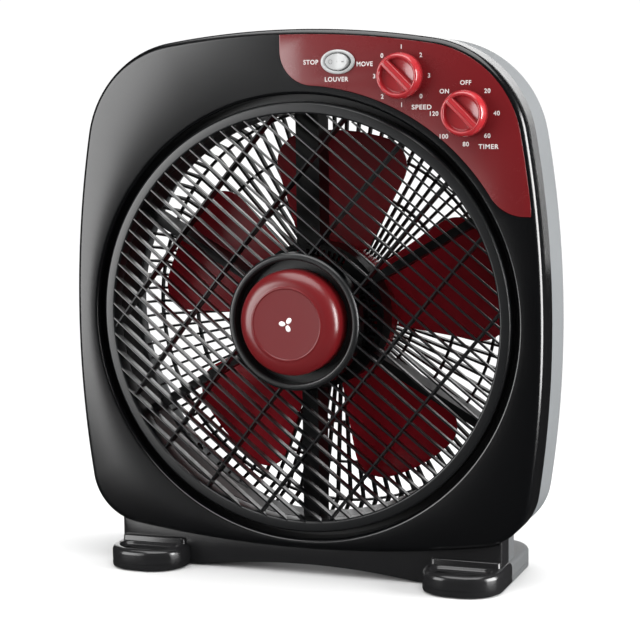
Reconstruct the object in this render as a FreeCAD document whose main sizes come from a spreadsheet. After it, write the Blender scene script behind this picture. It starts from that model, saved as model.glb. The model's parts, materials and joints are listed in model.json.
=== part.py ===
"""Box fan, 300 mm: a two-shell case on a two-part stand, a five-bladed fan on an induction motor,
a rotating louver driven by its own gear motor, and a control panel with a speed dial, a timer dial
and a rocker switch.  Millimetres.  +Z is up, the front faces -Y, +X is to the right seen from the
front.  The origin is on the floor, under the middle of the object."""
import FreeCAD
import Part
import Sketcher
import math
import os
import re

from FreeCAD import Placement, Rotation, Vector

SIZES = {
    # case: a rounded outline of eight tangent arcs, measured from the fan axis
    "axis_height": 212, "half_width": 200.5, "case_top": 232.5, "case_bottom": 189,
    "widest_drop": 5, "side_bow": 893, "top_bow": 711, "bottom_bow": 999,
    "top_corner": 90, "bottom_corner": 46,
    # stations along the depth, and the shells
    "front_plane": -39, "parting_plane": -6, "back_plane": 67,
    "wall_thick": 2.5, "face_thick": 3, "front_edge": 5, "back_edge": 34, "seam_step": 0.8,
    "opening_radius": 181, "collar_wall": 2.6, "collar_end": -19, "lip_bevel": 2.5,
    "rear_opening": 184, "lip_radius": 176, "lip_front": 34, "lip_thick": 3,
    "post_radius": 4.5, "pilot_radius": 1.5, "well_radius": 6, "well_bore": 4,
    "screw_bore": 2.1, "screw_head": 3.6, "screw_cap": 2.2,
    "upper_post_x": 171, "upper_post_z": 112, "lower_post_x": 167, "lower_post_z": 158,
    "left_post_x": 102, "top_post_x": 4, "top_post_z": 209, "left_post_z": 190,
    # control panel
    "panel_left": 14.2, "panel_bottom": 85.5, "panel_inset": 4.3, "panel_arc": 188,
    "panel_thick": 1.6, "panel_gap": 0.2, "panel_corner": 28, "panel_sweep": 32,
    "rocker_x": 35.3, "rocker_z": 206, "bezel_width": 28.4, "bezel_height": 19.2, "bezel_lip": 2,
    "bezel_open_width": 21.6, "bezel_open_height": 14.2, "switch_width": 19, "switch_height": 12.6,
    "button_width": 19.4, "button_height": 13.4, "button_depth": 7.5, "rocker_half_throw": 8,
    "pivot_radius": 1, "valley_radius": 26,
    "speed_x": 87.6, "speed_z": 194.4, "timer_x": 139.4, "timer_z": 165,
    "knob_radius": 18, "knob_top": 16.6, "knob_height": 13.6, "knob_gap": 0.5, "grip_width": 8.4,
    "dish_radius": 13.4, "dish_floor": 5.6, "spindle_radius": 3, "spindle_bore": 3.05,
    "thread_radius": 4.8, "thread_hole": 5, "nut_radius": 7, "nut_height": 2,
    "speed_body_radius": 15, "speed_body_depth": 18,
    "timer_width": 40, "timer_height": 36, "timer_depth": 22,
    # louver and its drive
    "louver_radius": 175.2, "rim_inner": 165.7, "rim_front": -38.2, "rim_rear": -24,
    "slat_pitch": 9.65, "slat_thick": 1.9, "slat_turn": 39.3, "slat_lean": 13,
    "lean_place": -47, "tie_pitch": 48.6, "tie_thick": 1.9,
    "hub_radius": 55.6, "hub_inner": 50, "hub_front": -54.4, "hub_rear": -39.5, "hub_floor": -43,
    "cap_radius": 42.5, "cap_front": -69, "cap_step_radius": 28.9, "cap_wall": 2,
    "louver_shaft_radius": 3, "louver_shaft_front": -37, "louver_bore": 3.05,
    "gearbox_radius": 24, "gearbox_front": -23, "gearbox_rear": -8, "gearbox_wall": 1.2,
    "gearbox_ear": 29.5,
    # motor bracket: duct ring, flange, six arms and the motor cup
    "duct_inner": 166, "duct_outer": 168.5, "duct_front": -22, "duct_rear": 8,
    "flange_radius": 183.5, "flange_thick": 2.5, "ear_offset": 133.2, "ear_radius": 6,
    "arm_front": -16, "arm_depth": 23, "arm_width": 7, "top_arm_width": 20, "low_arm_width": 14,
    "cup_inner": 57.8, "cup_outer": 60.5, "cup_front": -4.8, "cup_rear": 17,
    "cover_thick": 2.2, "cover_radius": 57.7, "vent_inner": 41.5, "vent_middle": 48.2,
    "vent_outer": 55, "vent_width": 2.4, "channel_width": 12, "channel_depth": 8, "lid_thick": 1.5,
    "lead_radius": 3, "lead_hole": 3.2,
    # induction motor
    "motor_front": 3, "stack_front": 11, "stack_rear": 29, "motor_rear": 43,
    "stack_half": 35, "stack_round": 49.5, "stator_bore": 21.6, "rotor_radius": 21.2,
    "slot_outer": 32, "winding_inner": 23, "winding_outer": 31.2,
    "shaft_radius": 4, "bush_bore": 4.04, "bush_radius": 8, "bolt_circle": 44.5, "bolt_radius": 2,
    # impeller
    "blade_tip": 151, "blade_hub": 57.2, "hub_wall": 2.6, "blade_front": 20, "blade_back": 49,
    "blade_corner": 24, "blade_thick": 2.2, "blade_half_angle": 25, "first_blade": 85,
    "shaft_end": 55, "pin_radius": 1.25, "pin_length": 22, "nut_outer": 12, "nut_end": 58,
    # rear grille
    "grille_back": 69, "grille_edge": 171, "ring_middle": 136, "ring_inner": 101,
    "ring_centre": 66, "disc_radius": 45, "rib_thick": 2, "rib_depth": 6.5, "rib_count": 90,
    "frame_outer": 183.6, "frame_inner": 178.6, "frame_front": 37.2, "frame_rear": 44,
    "lug_radius": 5, "lug_offset": 127.3,
    "gland_x": 149, "gland_drop": 141, "gland_hole": 5, "gland_bore": 3.6, "gland_head": 8,
    "gland_seat_plane": 59, "gland_nut_rear": 53,
    "terminal_x": 112, "terminal_z": 164, "terminal_width": 28, "terminal_height": 12,
    "terminal_depth": 12, "capacitor_x": 60, "capacitor_z": 202, "capacitor_width": 36,
    "capacitor_height": 16, "capacitor_depth": 18,
    # stand
    "stand_half": 166, "stand_front": -31, "stand_joint": -9, "stand_rear": 6, "stand_gap": 0.3,
    "arch_radius": 630, "arch_height": 8, "foot_centre": 136.6, "foot_width": 65,
    "foot_front": -67, "foot_back": 69, "foot_height": 18.1, "foot_corner": 27, "foot_base": 1,
    "dish_margin": 7, "dish_depth": 3.5, "collar_height": 23, "collar_thick": 4,
    "collar_place": -31, "pad_radius": 9, "pad_height": 3.5, "dish_round": 21,
    "stand_screw_height": 26,
}

ALIAS = re.compile(r"[a-z]+(?:_[a-z]+)+")
BACK = Rotation(Vector(1, 0, 0), -90)          # a part's own Z turned to point to the back

doc = FreeCAD.newDocument("BoxFan")
sheet = doc.addObject("Spreadsheet::Sheet", "Sizes")
for row, (alias, number) in enumerate(SIZES.items(), 1):
    sheet.set(f"A{row}", alias.replace("_", " "))
    sheet.set(f"B{row}", str(number))
    sheet.setAlias(f"B{row}", alias)
doc.recompute()
nodes = {}


def formula(text):
    """The text with each size's name pointed at its cell."""
    return ALIAS.sub(lambda found: "Sizes." + found.group(), text)


def bind(item, **formulas):
    for name, text in formulas.items():
        item.setExpression(name, formula(text))
    return item


def place(item, x="0", y="0", z="axis_height", turn=None):
    item.Placement = Placement(Vector(), turn or Rotation())
    for axis, text in zip("xyz", (x, y, z)):
        item.setExpression("Placement.Base." + axis, formula(text))
    return item


def node(label, item):
    item.Label = label
    nodes[label] = item
    return item


# ---- ways of making a piece ---------------------------------------------------------------------

def rod(name, radius, start, end, x="0", z="axis_height"):
    """A cylinder along the depth."""
    item = bind(doc.addObject("Part::Cylinder", name), Radius=radius, Height=f"({end}) - ({start})")
    return place(item, x, start, z, BACK)


def tube(name, outer, inner, start, end, x="0", z="axis_height"):
    return cut(name, rod(name + "_outside", outer, start, end, x, z),
               rod(name + "_bore", inner, f"{start} - 1", f"{end} + 1", x, z))


def block(name, left, right, start, end, low, high):
    item = bind(doc.addObject("Part::Box", name), Length=f"({right}) - ({left})",
                Width=f"({end}) - ({start})", Height=f"({high}) - ({low})")
    return place(item, left, start, low)


def cut(name, base, *tools):
    item = doc.addObject("Part::Cut", name)
    item.Base = base
    item.Tool = tools[0] if len(tools) == 1 else fuse(name + "_tools", *tools)
    return item


def fuse(name, *items):
    item = doc.addObject("Part::MultiFuse", name)
    item.Shapes = list(items)
    return item


def common(name, first, second):
    item = doc.addObject("Part::Common", name)
    item.Base = first
    item.Tool = second
    return item


def group(name, items):
    """Separate solids that share one node."""
    item = doc.addObject("Part::Compound", name)
    item.Links = list(items)
    return item


def rounded(name, base, radius, choose):
    """Fillets the edges that choose() picks."""
    doc.recompute()
    item = doc.addObject("Part::Fillet", name)
    item.Base = base
    size = float(getattr(sheet, radius))
    item.Edges = [(i, size, size) for i, edge in enumerate(base.Shape.Edges, 1) if choose(edge)]
    return item


def at_depth(depth):
    return lambda edge: abs(edge.BoundBox.YMin - depth) < 0.01 and abs(edge.BoundBox.YMax - depth) < 0.01


def along_depth_near(*places):
    """Edges that run along the depth, close to one of the places (x, z)."""
    def choose(edge):
        box = edge.BoundBox
        flat = box.XLength < 0.01 and box.ZLength < 0.01 and box.YLength > 0.5
        return flat and any(math.hypot(box.XMin - x, box.ZMin - z) < 4 for x, z in places)
    return choose


def upright_near(x_places, y_place):
    def choose(edge):
        box = edge.BoundBox
        upright = box.XLength < 0.01 and box.YLength < 0.01 and box.ZLength > 0.5
        return upright and abs(box.YMin - y_place) < 1 and any(abs(box.XMin - x) < 1 for x in x_places)
    return choose


def add_polygon(sketch, corners):
    """Closed straight outline; each corner's two distances from the sketch's origin are formulas."""
    count = len(corners)
    start = [Vector(70 + 60 * math.cos(2 * math.pi * i / count), 60 * math.sin(2 * math.pi * i / count), 0)
             for i in range(count)]
    for i in range(count):
        sketch.addGeometry(Part.LineSegment(start[i], start[(i + 1) % count]), False)
    for i in range(count):
        sketch.addConstraint(Sketcher.Constraint("Coincident", i, 2, (i + 1) % count, 1))
    for i, corner in enumerate(corners):
        across = (("DistanceX", corner[0], start[i].x, -2), ("DistanceY", corner[1], start[i].y, -1))
        for kind, text, value, axis in across:
            if text == "0":
                sketch.addConstraint(Sketcher.Constraint("PointOnObject", i, 1, axis))
            else:
                number = sketch.addConstraint(Sketcher.Constraint(kind, -1, 1, i, 1, value))
                sketch.setExpression(f"Constraints[{number}]", formula(text))


def turned(name, corners, x="0", z="axis_height"):
    """A body of revolution about an axis along the depth; corners are (radius, depth)."""
    body = doc.addObject("PartDesign::Body", name)
    sketch = body.newObject("Sketcher::SketchObject", name + "_profile")
    base = next(f for f in body.Origin.OriginFeatures if f.Role == "XY_Plane")
    sketch.AttachmentSupport = (base, [""])
    sketch.MapMode = "FlatFace"
    add_polygon(sketch, corners)
    turn = body.newObject("PartDesign::Revolution", name + "_turn")
    turn.Profile = sketch
    turn.ReferenceAxis = (sketch, ["V_Axis"])
    turn.Angle = 360
    return place(body, x, "0", z)


def tangent_corner(first, first_radius, second, second_radius, corner_radius, up):
    """Centre of the small arc that touches two large arcs from inside."""
    span = math.hypot(second[0] - first[0], second[1] - first[1])
    near = first_radius - corner_radius
    far = second_radius - corner_radius
    along = (near ** 2 - far ** 2 + span ** 2) / (2 * span)
    off = math.sqrt(near ** 2 - along ** 2)
    ux, uz = (second[0] - first[0]) / span, (second[1] - first[1]) / span
    choices = [(first[0] + along * ux - s * off * uz, first[1] + along * uz + s * off * ux)
               for s in (1, -1)]
    return max(choices, key=lambda point: point[0] + up * point[1])


def case_prism(name, inset, start, end, taper=0):
    """The case outline, inset all round, extruded between two depths."""
    sketch = doc.addObject("Sketcher::SketchObject", name + "_outline")
    side = (sheet.half_width - sheet.side_bow, -sheet.widest_drop)
    top = (0, sheet.case_top - sheet.top_bow)
    low = (0, sheet.bottom_bow - sheet.case_bottom)
    upper = tangent_corner(side, sheet.side_bow, top, sheet.top_bow, sheet.top_corner, 1)
    lower = tangent_corner(side, sheet.side_bow, low, sheet.bottom_bow, sheet.bottom_corner, -1)

    def bearing(centre, point):
        return math.atan2(point[1] - centre[1], point[0] - centre[0])

    def arc(centre, radius, first, last):
        circle = Part.Circle(Vector(centre[0], centre[1], 0), Vector(0, 0, 1), radius)
        return Part.ArcOfCircle(circle, first, last)

    def mirrored(point):
        return (-point[0], point[1])

    side_up, side_down = bearing(side, upper), bearing(side, lower)
    top_end, low_end = bearing(top, upper), bearing(low, lower)
    arcs = [arc(side, sheet.side_bow, side_down, side_up),
            arc(upper, sheet.top_corner, side_up, top_end),
            arc(top, sheet.top_bow, top_end, math.pi - top_end),
            arc(mirrored(upper), sheet.top_corner, math.pi - top_end, math.pi - side_up),
            arc(mirrored(side), sheet.side_bow, math.pi - side_up, math.pi - side_down),
            arc(mirrored(lower), sheet.bottom_corner, math.pi - side_down, math.pi - low_end),
            arc(low, sheet.bottom_bow, math.pi - low_end, 2 * math.pi + low_end),
            arc(lower, sheet.bottom_corner, low_end, side_down)]
    sketch.addGeometry(arcs, False)
    for i in range(len(arcs)):
        sketch.addConstraint(Sketcher.Constraint("Tangent", i, 2, (i + 1) % len(arcs), 1))
    radii = ("side_bow", "top_corner", "top_bow", "top_corner",
             "side_bow", "bottom_corner", "bottom_bow", "bottom_corner")
    for i, alias in enumerate(radii):
        number = sketch.addConstraint(Sketcher.Constraint("Radius", i, arcs[i].Radius))
        sketch.setExpression(f"Constraints[{number}]", formula(f"{alias} - ({inset})"))
    centres = ((0, "half_width - side_bow", "-widest_drop"), (2, "0", "case_top - top_bow"),
               (4, "side_bow - half_width", "-widest_drop"), (6, "0", "bottom_bow - case_bottom"))
    for i, across, up in centres:
        if across == "0":
            sketch.addConstraint(Sketcher.Constraint("PointOnObject", i, 3, -2))
        else:
            number = sketch.addConstraint(Sketcher.Constraint("DistanceX", -1, 1, i, 3, arcs[i].Center.x))
            sketch.setExpression(f"Constraints[{number}]", formula(across))
        number = sketch.addConstraint(Sketcher.Constraint("DistanceY", -1, 1, i, 3, arcs[i].Center.y))
        sketch.setExpression(f"Constraints[{number}]", formula(up))
    place(sketch, "0", start, "axis_height", Rotation(Vector(1, 0, 0), 90))
    prism = doc.addObject("Part::Extrusion", name)
    prism.Base = sketch
    prism.DirMode = "Custom"
    prism.Dir = Vector(0, 1, 0)
    prism.Solid = True
    prism.TaperAngle = taper
    return bind(prism, LengthFwd=f"({end}) - ({start})")


def ellipse_prism(name, width, height, start, end, x, z, turn=None):
    """An upright oval extruded along the depth."""
    oval = bind(doc.addObject("Part::Ellipse", name + "_oval"), MajorRadius=f"({width}) / 2",
                MinorRadius=f"({height}) / 2")
    place(oval, x, start, z, Rotation(Vector(1, 0, 0), 90))
    prism = doc.addObject("Part::Extrusion", name)
    prism.Base = oval
    prism.DirMode = "Custom"
    prism.Dir = Vector(0, 1, 0)
    prism.Solid = True
    return bind(prism, LengthFwd=f"({end}) - ({start})")


def screws(label, seat, tip, places, head="screw_head", cap="screw_cap"):
    """Like screws with their heads to the back, seated at one depth."""
    made = []
    for i, (x, z) in enumerate(places):
        name = f"{label}_{i}"
        made.append(fuse(name, rod(name + "_head", head, seat, f"{seat} + {cap}", x, z),
                         rod(name + "_shank", "pilot_radius", tip, seat, x, z)))
    return node(label, group(label, made))


def plain(label, shape):
    """A piece whose shape is made directly, in its own axis frame, then set on the fan axis."""
    item = doc.addObject("Part::Feature", label)
    item.Shape = shape
    item.Placement = Placement(Vector(0, 0, float(sheet.axis_height)), Rotation())
    return node(label, item)


def both_sides(x, z):
    return [(x, z), ("-" + x, z)]


# ---- case ---------------------------------------------------------------------------------------

CASE_POSTS = (both_sides("upper_post_x", "axis_height + upper_post_z")
              + both_sides("lower_post_x", "axis_height - lower_post_z")
              + [("-left_post_x", "axis_height + left_post_z"), ("top_post_x", "axis_height + top_post_z")])
EARS = (both_sides("ear_offset", "axis_height + ear_offset")
        + both_sides("ear_offset", "axis_height - ear_offset"))
CONTROLS = (("speed_x", "axis_height + speed_z"), ("timer_x", "axis_height + timer_z"))
ROCKER = ("rocker_x", "axis_height + rocker_z")
GRILLE_LUGS = (both_sides("lug_offset", "axis_height + lug_offset")
               + both_sides("lug_offset", "axis_height - lug_offset"))
GLAND = ("-gland_x", "axis_height - gland_drop")


def panel_blank(name, grow, start, end):
    """The panel's outline: left edge, an arc round the opening, a level foot and the case's edge."""
    face = case_prism(name + "_face", f"panel_inset - {grow}", start, end)
    area = block(name + "_area", f"-panel_left - {grow}", "half_width", start, end,
                 f"axis_height + panel_bottom - {grow}", "axis_height + case_top")
    circle = rod(name + "_round", f"panel_arc - {grow}", f"{start} - 1", f"{end} + 1")
    blank = cut(name + "_blank", common(name + "_region", face, area), circle)
    arc = float(sheet.panel_arc)
    left = float(sheet.panel_left)
    foot = float(sheet.panel_bottom)
    height = float(sheet.axis_height)
    first = rounded(name + "_corner", blank, "panel_corner",
                    along_depth_near((-left, height + math.sqrt(arc ** 2 - left ** 2))))
    return rounded(name, first, "panel_sweep",
                   along_depth_near((math.sqrt(arc ** 2 - foot ** 2), height + foot)))


def control_holes(name, start, end):
    holes = [rod(f"{name}_hole_{i}", "thread_hole", start, end, x, z) for i, (x, z) in enumerate(CONTROLS)]
    slot = ellipse_prism(name + "_slot", "bezel_open_width + 1.2", "bezel_open_height + 1.2",
                         start, end, *ROCKER)
    return holes + [slot]


def build_front_shell():
    outside = rounded("front_outside", case_prism("front_solid", "0", "front_plane", "parting_plane"),
                      "front_edge", at_depth(sheet.front_plane))
    inside = case_prism("front_inside", "wall_thick", "front_plane + face_thick", "parting_plane + 1")
    skin = cut("front_skin", outside, inside)
    collar = rod("front_collar", "opening_radius + collar_wall", "front_plane + 0.5", "collar_end")
    posts = [rod(f"front_post_{i}", "post_radius", "front_plane + 1.5", "parting_plane", x, z)
             for i, (x, z) in enumerate(CASE_POSTS)]
    ears = [rod(f"front_ear_{i}", "post_radius", "front_plane + 1.5", "collar_end", x, z)
            for i, (x, z) in enumerate(EARS)]
    opening = rod("front_opening", "opening_radius", "front_plane - 1", "parting_plane")
    bevel = bind(doc.addObject("Part::Cone", "front_bevel"), Radius1="opening_radius + lip_bevel",
                 Radius2="opening_radius", Height="lip_bevel")
    place(bevel, "0", "front_plane", "axis_height", BACK)
    pilots = [rod(f"front_pilot_{i}", "pilot_radius", f"{end} - 12", f"{end} + 1", x, z)
              for i, ((x, z), end) in enumerate([(p, "parting_plane") for p in CASE_POSTS]
                                                + [(p, "collar_end") for p in EARS])]
    recess = panel_blank("panel_recess", "panel_gap", "front_plane - 1", "front_plane + panel_thick")
    holes = control_holes("front", "front_plane - 1", "front_plane + face_thick + 1")
    body = fuse("front_body", skin, collar, *posts, *ears)
    node("front_shell", cut("front_shell", body, opening, bevel, recess, *pilots, *holes))


def build_control_panel():
    blank = panel_blank("panel_plate", "0", "front_plane", "front_plane + panel_thick")
    holes = control_holes("panel", "front_plane - 1", "front_plane + panel_thick + 1")
    node("control_panel", cut("control_panel", blank, *holes))


def build_rear_shell():
    outside = rounded("rear_outside",
                      case_prism("rear_solid", "seam_step", "parting_plane", "back_plane"),
                      "back_edge", at_depth(sheet.back_plane))
    inner_edge = rounded("rear_inside",
                         case_prism("rear_core", "seam_step + wall_thick", "parting_plane - 1",
                                    "back_plane - wall_thick"),
                         "back_edge", at_depth(sheet.back_plane - sheet.wall_thick))
    skin = cut("rear_skin", outside, inner_edge)
    wells = [rod(f"rear_well_{i}", "well_radius", "parting_plane", "back_plane", x, z)
             for i, (x, z) in enumerate(CASE_POSTS)]
    collar = rod("rear_collar", "rear_opening + collar_wall", "lip_front", "back_plane")
    gland_seat = rod("rear_gland_seat", "gland_head + 2", "gland_nut_rear", "back_plane", *GLAND)
    inserts = common("rear_inserts", fuse("rear_wells", collar, gland_seat, *wells), outside)
    body = fuse("rear_body", skin, inserts)
    throat = rod("rear_throat", "lip_radius", "parting_plane", "back_plane + 1")
    mouth = rod("rear_mouth", "rear_opening", "lip_front + lip_thick", "back_plane + 1")
    keep = fuse("rear_keep", cut("rear_opened", body, throat, mouth), *[
        rod(f"rear_lug_{i}", "lug_radius", "lip_front - 6", "lip_front + lip_thick", x, z)
        for i, (x, z) in enumerate(GRILLE_LUGS)])
    bores = []
    for i, (x, z) in enumerate(CASE_POSTS):
        bores.append(rod(f"rear_bore_{i}", "well_bore", "parting_plane + 4", "back_plane + 1", x, z))
        bores.append(rod(f"rear_pass_{i}", "screw_bore", "parting_plane - 1", "back_plane", x, z))
    for i, (x, z) in enumerate(GRILLE_LUGS):
        bores.append(rod(f"rear_pilot_{i}", "pilot_radius", "lip_front - 5", "back_plane", x, z))
    bores.append(rod("rear_gland_hole", "gland_hole", "parting_plane", "back_plane", *GLAND))
    bores.append(rod("rear_gland_sink", "gland_head + 0.1", "gland_seat_plane", "back_plane + 1", *GLAND))
    node("rear_shell", cut("rear_shell", keep, *bores))


def build_rear_grille():
    """Ninety ribs on five rings round a centre disc; they turn forward to a frame ring, its own node."""
    back, edge, depth = sheet.grille_back, sheet.grille_edge, sheet.rib_depth
    half = sheet.rib_thick / 2
    outline = [(sheet.disc_radius - 1, back), (edge, back), (sheet.frame_outer, sheet.frame_rear - 2),
               (sheet.frame_outer - 3, sheet.frame_rear - 2), (edge - 3, back - depth),
               (sheet.disc_radius - 1, back - depth)]
    side = Part.Face(Part.makePolygon([Vector(x, y, -half) for x, y in outline + outline[:1]]))
    rib = side.extrude(Vector(0, 0, sheet.rib_thick))
    count = int(sheet.rib_count)
    axis = Vector(0, 1, 0)
    ribs = [rib.rotated(Vector(), axis, 360 * i / count) for i in range(count)]

    def ring(outer, inner, start, end):
        out = Part.makeCylinder(outer, end - start, Vector(0, start, 0), Vector(0, 1, 0))
        return out.cut(Part.makeCylinder(inner, end - start, Vector(0, start, 0), Vector(0, 1, 0)))

    rings = [ring(r + half, r - half, back - depth + 1, back - 1)
             for r in (edge, sheet.ring_middle, sheet.ring_inner, sheet.ring_centre)]
    rings.append(ring(sheet.frame_outer, sheet.frame_inner, sheet.frame_front, sheet.frame_rear))
    disc = Part.makeCylinder(sheet.disc_radius, depth, Vector(0, back - depth, 0), Vector(0, 1, 0))
    offset = sheet.lug_offset
    centres = [Vector(x, sheet.frame_front, z) for x in (-offset, offset) for z in (-offset, offset)]
    lugs = [Part.makeCylinder(sheet.lug_radius, sheet.frame_rear - sheet.frame_front, c, Vector(0, 1, 0))
            for c in centres]
    limit = Part.makeCylinder(sheet.frame_outer, 60, Vector(0, 20, 0), Vector(0, 1, 0))
    lugs = [lug.common(limit) for lug in lugs]
    well = sheet.screw_head + 0.5
    wells = [Part.makeCylinder(well, 40, Vector(c.x, sheet.frame_rear, c.z), axis) for c in centres]
    bores = [Part.makeCylinder(sheet.screw_bore, 60, c - axis, axis) for c in centres]
    body = disc.multiFuse(ribs + rings + lugs)
    body = body.cut(Part.makeCompound(wells + bores)).removeSplitter()
    middle = Part.makeCylinder(edge - 3, 80, Vector(0, 20, 0), axis)
    plain("rear_grille", body.common(middle))
    plain("grille_frame", body.cut(middle))


def build_case_fittings():
    screws("case_screws", "parting_plane + 4", "parting_plane - 8", CASE_POSTS)
    screws("grille_screws", "frame_rear", "lip_front - 3", GRILLE_LUGS)
    head = rod("gland_cap", "gland_head", "gland_seat_plane", "back_plane - 1", *GLAND)
    neck = rod("gland_neck", "gland_hole - 0.1", "gland_nut_rear - 10", "gland_seat_plane", *GLAND)
    nut = rod("gland_nut", "gland_head - 0.5", "gland_nut_rear - 6", "gland_nut_rear", *GLAND)
    bore = rod("gland_bore", "gland_bore", "gland_nut_rear - 11", "back_plane", *GLAND)
    node("cord_gland", cut("cord_gland", fuse("gland_body", head, neck, nut), bore))
    back = "front_plane + face_thick"
    for label, size in (("terminal_block", "terminal"), ("capacitor", "capacitor")):
        x, z = f"-{size}_x", f"axis_height + {size}_z"
        node(label, block(label, f"{x} - {size}_width / 2", f"{x} + {size}_width / 2", back,
                          f"{back} + {size}_depth", f"{z} - {size}_height / 2", f"{z} + {size}_height / 2"))


# ---- controls -----------------------------------------------------------------------------------

def build_dial(name, x, z, body, inside):
    seat = "front_plane - knob_gap"
    top = "front_plane - knob_height"
    blank = turned(name + "_blank", [("0", top + " + dish_floor"), ("dish_radius", top + " + dish_floor"),
                                     ("dish_radius + 0.8", top), ("knob_top", top),
                                     ("knob_radius", top + " + 5"), ("knob_radius", seat),
                                     ("knob_radius - 2", seat), ("knob_radius - 2", seat + " - 4"),
                                     ("spindle_radius + 2.4", seat + " - 4"),
                                     ("spindle_radius + 2.4", seat + " - 3"),
                                     ("spindle_radius", seat + " - 3"),
                                     ("spindle_radius", top + " + dish_floor + 2"),
                                     ("0", top + " + dish_floor + 2")], x, z)
    grip = bind(doc.addObject("Part::Box", name + "_grip"), Length="2 * knob_radius",
                Width="dish_floor + 1", Height="grip_width")
    grip.Placement = Placement(Vector(), Rotation(Vector(0, 1, 0), 45))
    shift = "(knob_radius - grip_width / 2) * 0.70710678"
    lift = "(knob_radius + grip_width / 2) * 0.70710678"
    for axis, text in (("x", f"{x} - ({lift})"), ("y", top + " - 0.6"), ("z", f"{z} + {shift}")):
        grip.setExpression("Placement.Base." + axis, formula(text))
    trim = rod(name + "_trim", "knob_top + 0.4", top + " - 1", top + " + dish_floor + 1", x, z)
    node(name + "_knob", fuse(name + "_knob", blank, common(name + "_bar", grip, trim)))
    node(name + "_spindle", rod(name + "_spindle", "spindle_radius", top + " + dish_floor + 2",
                                "front_plane + face_thick + 8", x, z))
    back = "front_plane + face_thick"
    thread = rod(name + "_thread", "thread_radius", "front_plane - nut_height - 0.3", back, x, z)
    bore = rod(name + "_bore", "spindle_bore", "front_plane - 20", back + " + 8.2", x, z)
    node(body, cut(body, fuse(name + "_case", inside, thread), bore))


def build_controls():
    back = "front_plane + face_thick"
    speed_x, speed_z = CONTROLS[0]
    timer_x, timer_z = CONTROLS[1]
    wafer = rod("speed_wafer", "speed_body_radius", back, f"{back} + speed_body_depth", speed_x, speed_z)
    case = block("timer_box", f"{timer_x} - timer_width / 2", f"{timer_x} + timer_width / 2", back,
                 f"{back} + timer_depth", f"{timer_z} - timer_height / 2", f"{timer_z} + timer_height / 2")
    build_dial("speed", speed_x, speed_z, "speed_switch", wafer)
    build_dial("timer", timer_x, timer_z, "timer_clockwork", case)
    nuts = []
    for i, (x, z) in enumerate(CONTROLS):
        hexagon = bind(doc.addObject("Part::Prism", f"nut_hexagon_{i}"), Circumradius="nut_radius",
                       Height="nut_height")
        hexagon.Polygon = 6
        place(hexagon, x, "front_plane - nut_height", z, BACK)
        nuts.append(cut(f"nut_{i}", hexagon, rod(f"nut_bore_{i}", "thread_radius", "front_plane - 4",
                                                 "front_plane + 1", x, z)))
    node("dial_nuts", group("dial_nuts", nuts))
    lip = ellipse_prism("bezel_lip_plate", "bezel_width", "bezel_height", "front_plane - bezel_lip",
                        "front_plane", *ROCKER)
    sleeve = ellipse_prism("bezel_sleeve", "bezel_open_width + 1", "bezel_open_height + 1",
                           "front_plane", back, *ROCKER)
    mouth = ellipse_prism("bezel_mouth", "bezel_open_width", "bezel_open_height",
                          "front_plane - 5", back + " + 1", *ROCKER)
    pivot = "front_plane + 1.6"
    pin_way = bind(doc.addObject("Part::Cylinder", "bezel_pin_way"), Radius="pivot_radius", Height="30")
    place(pin_way, "rocker_x", pivot, "axis_height + rocker_z - 15")
    node("rocker_bezel", cut("rocker_bezel", fuse("bezel_body", lip, sleeve), mouth, pin_way))
    half = "switch_width / 2"
    body = block("switch_box", f"rocker_x - {half} - 1.6", f"rocker_x + {half} + 1.6", back,
                 f"{back} + 17", "axis_height + rocker_z - switch_height / 2 - 2",
                 "axis_height + rocker_z + switch_height / 2 + 2")
    well = ellipse_prism("switch_well", "bezel_open_width", "bezel_open_height", back + " - 1",
                         f"{back} + 6.5", *ROCKER)
    node("rocker_body", cut("rocker_body", body, well))
    node("rocker_terminals", group("rocker_terminals", [
        block(f"terminal_{i}", f"rocker_x + {step} - 0.4", f"rocker_x + {step} + 0.4", f"{back} + 17",
              f"{back} + 24", "axis_height + rocker_z - 2.4", "axis_height + rocker_z + 2.4")
        for i, step in enumerate((-6, 0, 6))]))
    button = ellipse_prism("button_oval", "button_width", "button_height", "front_plane - 3.4",
                           "front_plane - 3.4 + button_depth", *ROCKER)
    valley = bind(doc.addObject("Part::Cylinder", "button_valley"), Radius="valley_radius", Height="30")
    place(valley, "rocker_x", "front_plane - 1.6 - valley_radius", "axis_height + rocker_z - 15")
    pin_hole = bind(doc.addObject("Part::Cylinder", "button_pin_hole"), Radius="pivot_radius + 0.05",
                    Height="30")
    place(pin_hole, "rocker_x", pivot, "axis_height + rocker_z - 15")
    tilted = cut("rocker_button", button, valley, pin_hole)
    tilted.Placement = Placement(Vector(), Rotation(Vector(0, 0, 1), -sheet.rocker_half_throw),
                                 Vector(sheet.rocker_x, sheet.front_plane + 1.6, 0))
    node("rocker_button", tilted)
    pin = bind(doc.addObject("Part::Cylinder", "rocker_pin"), Radius="pivot_radius",
               Height="bezel_open_height + 1")
    node("rocker_pin", place(pin, "rocker_x", pivot,
                             "axis_height + rocker_z - bezel_open_height / 2 - 0.5"))


# ---- louver -------------------------------------------------------------------------------------

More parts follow.
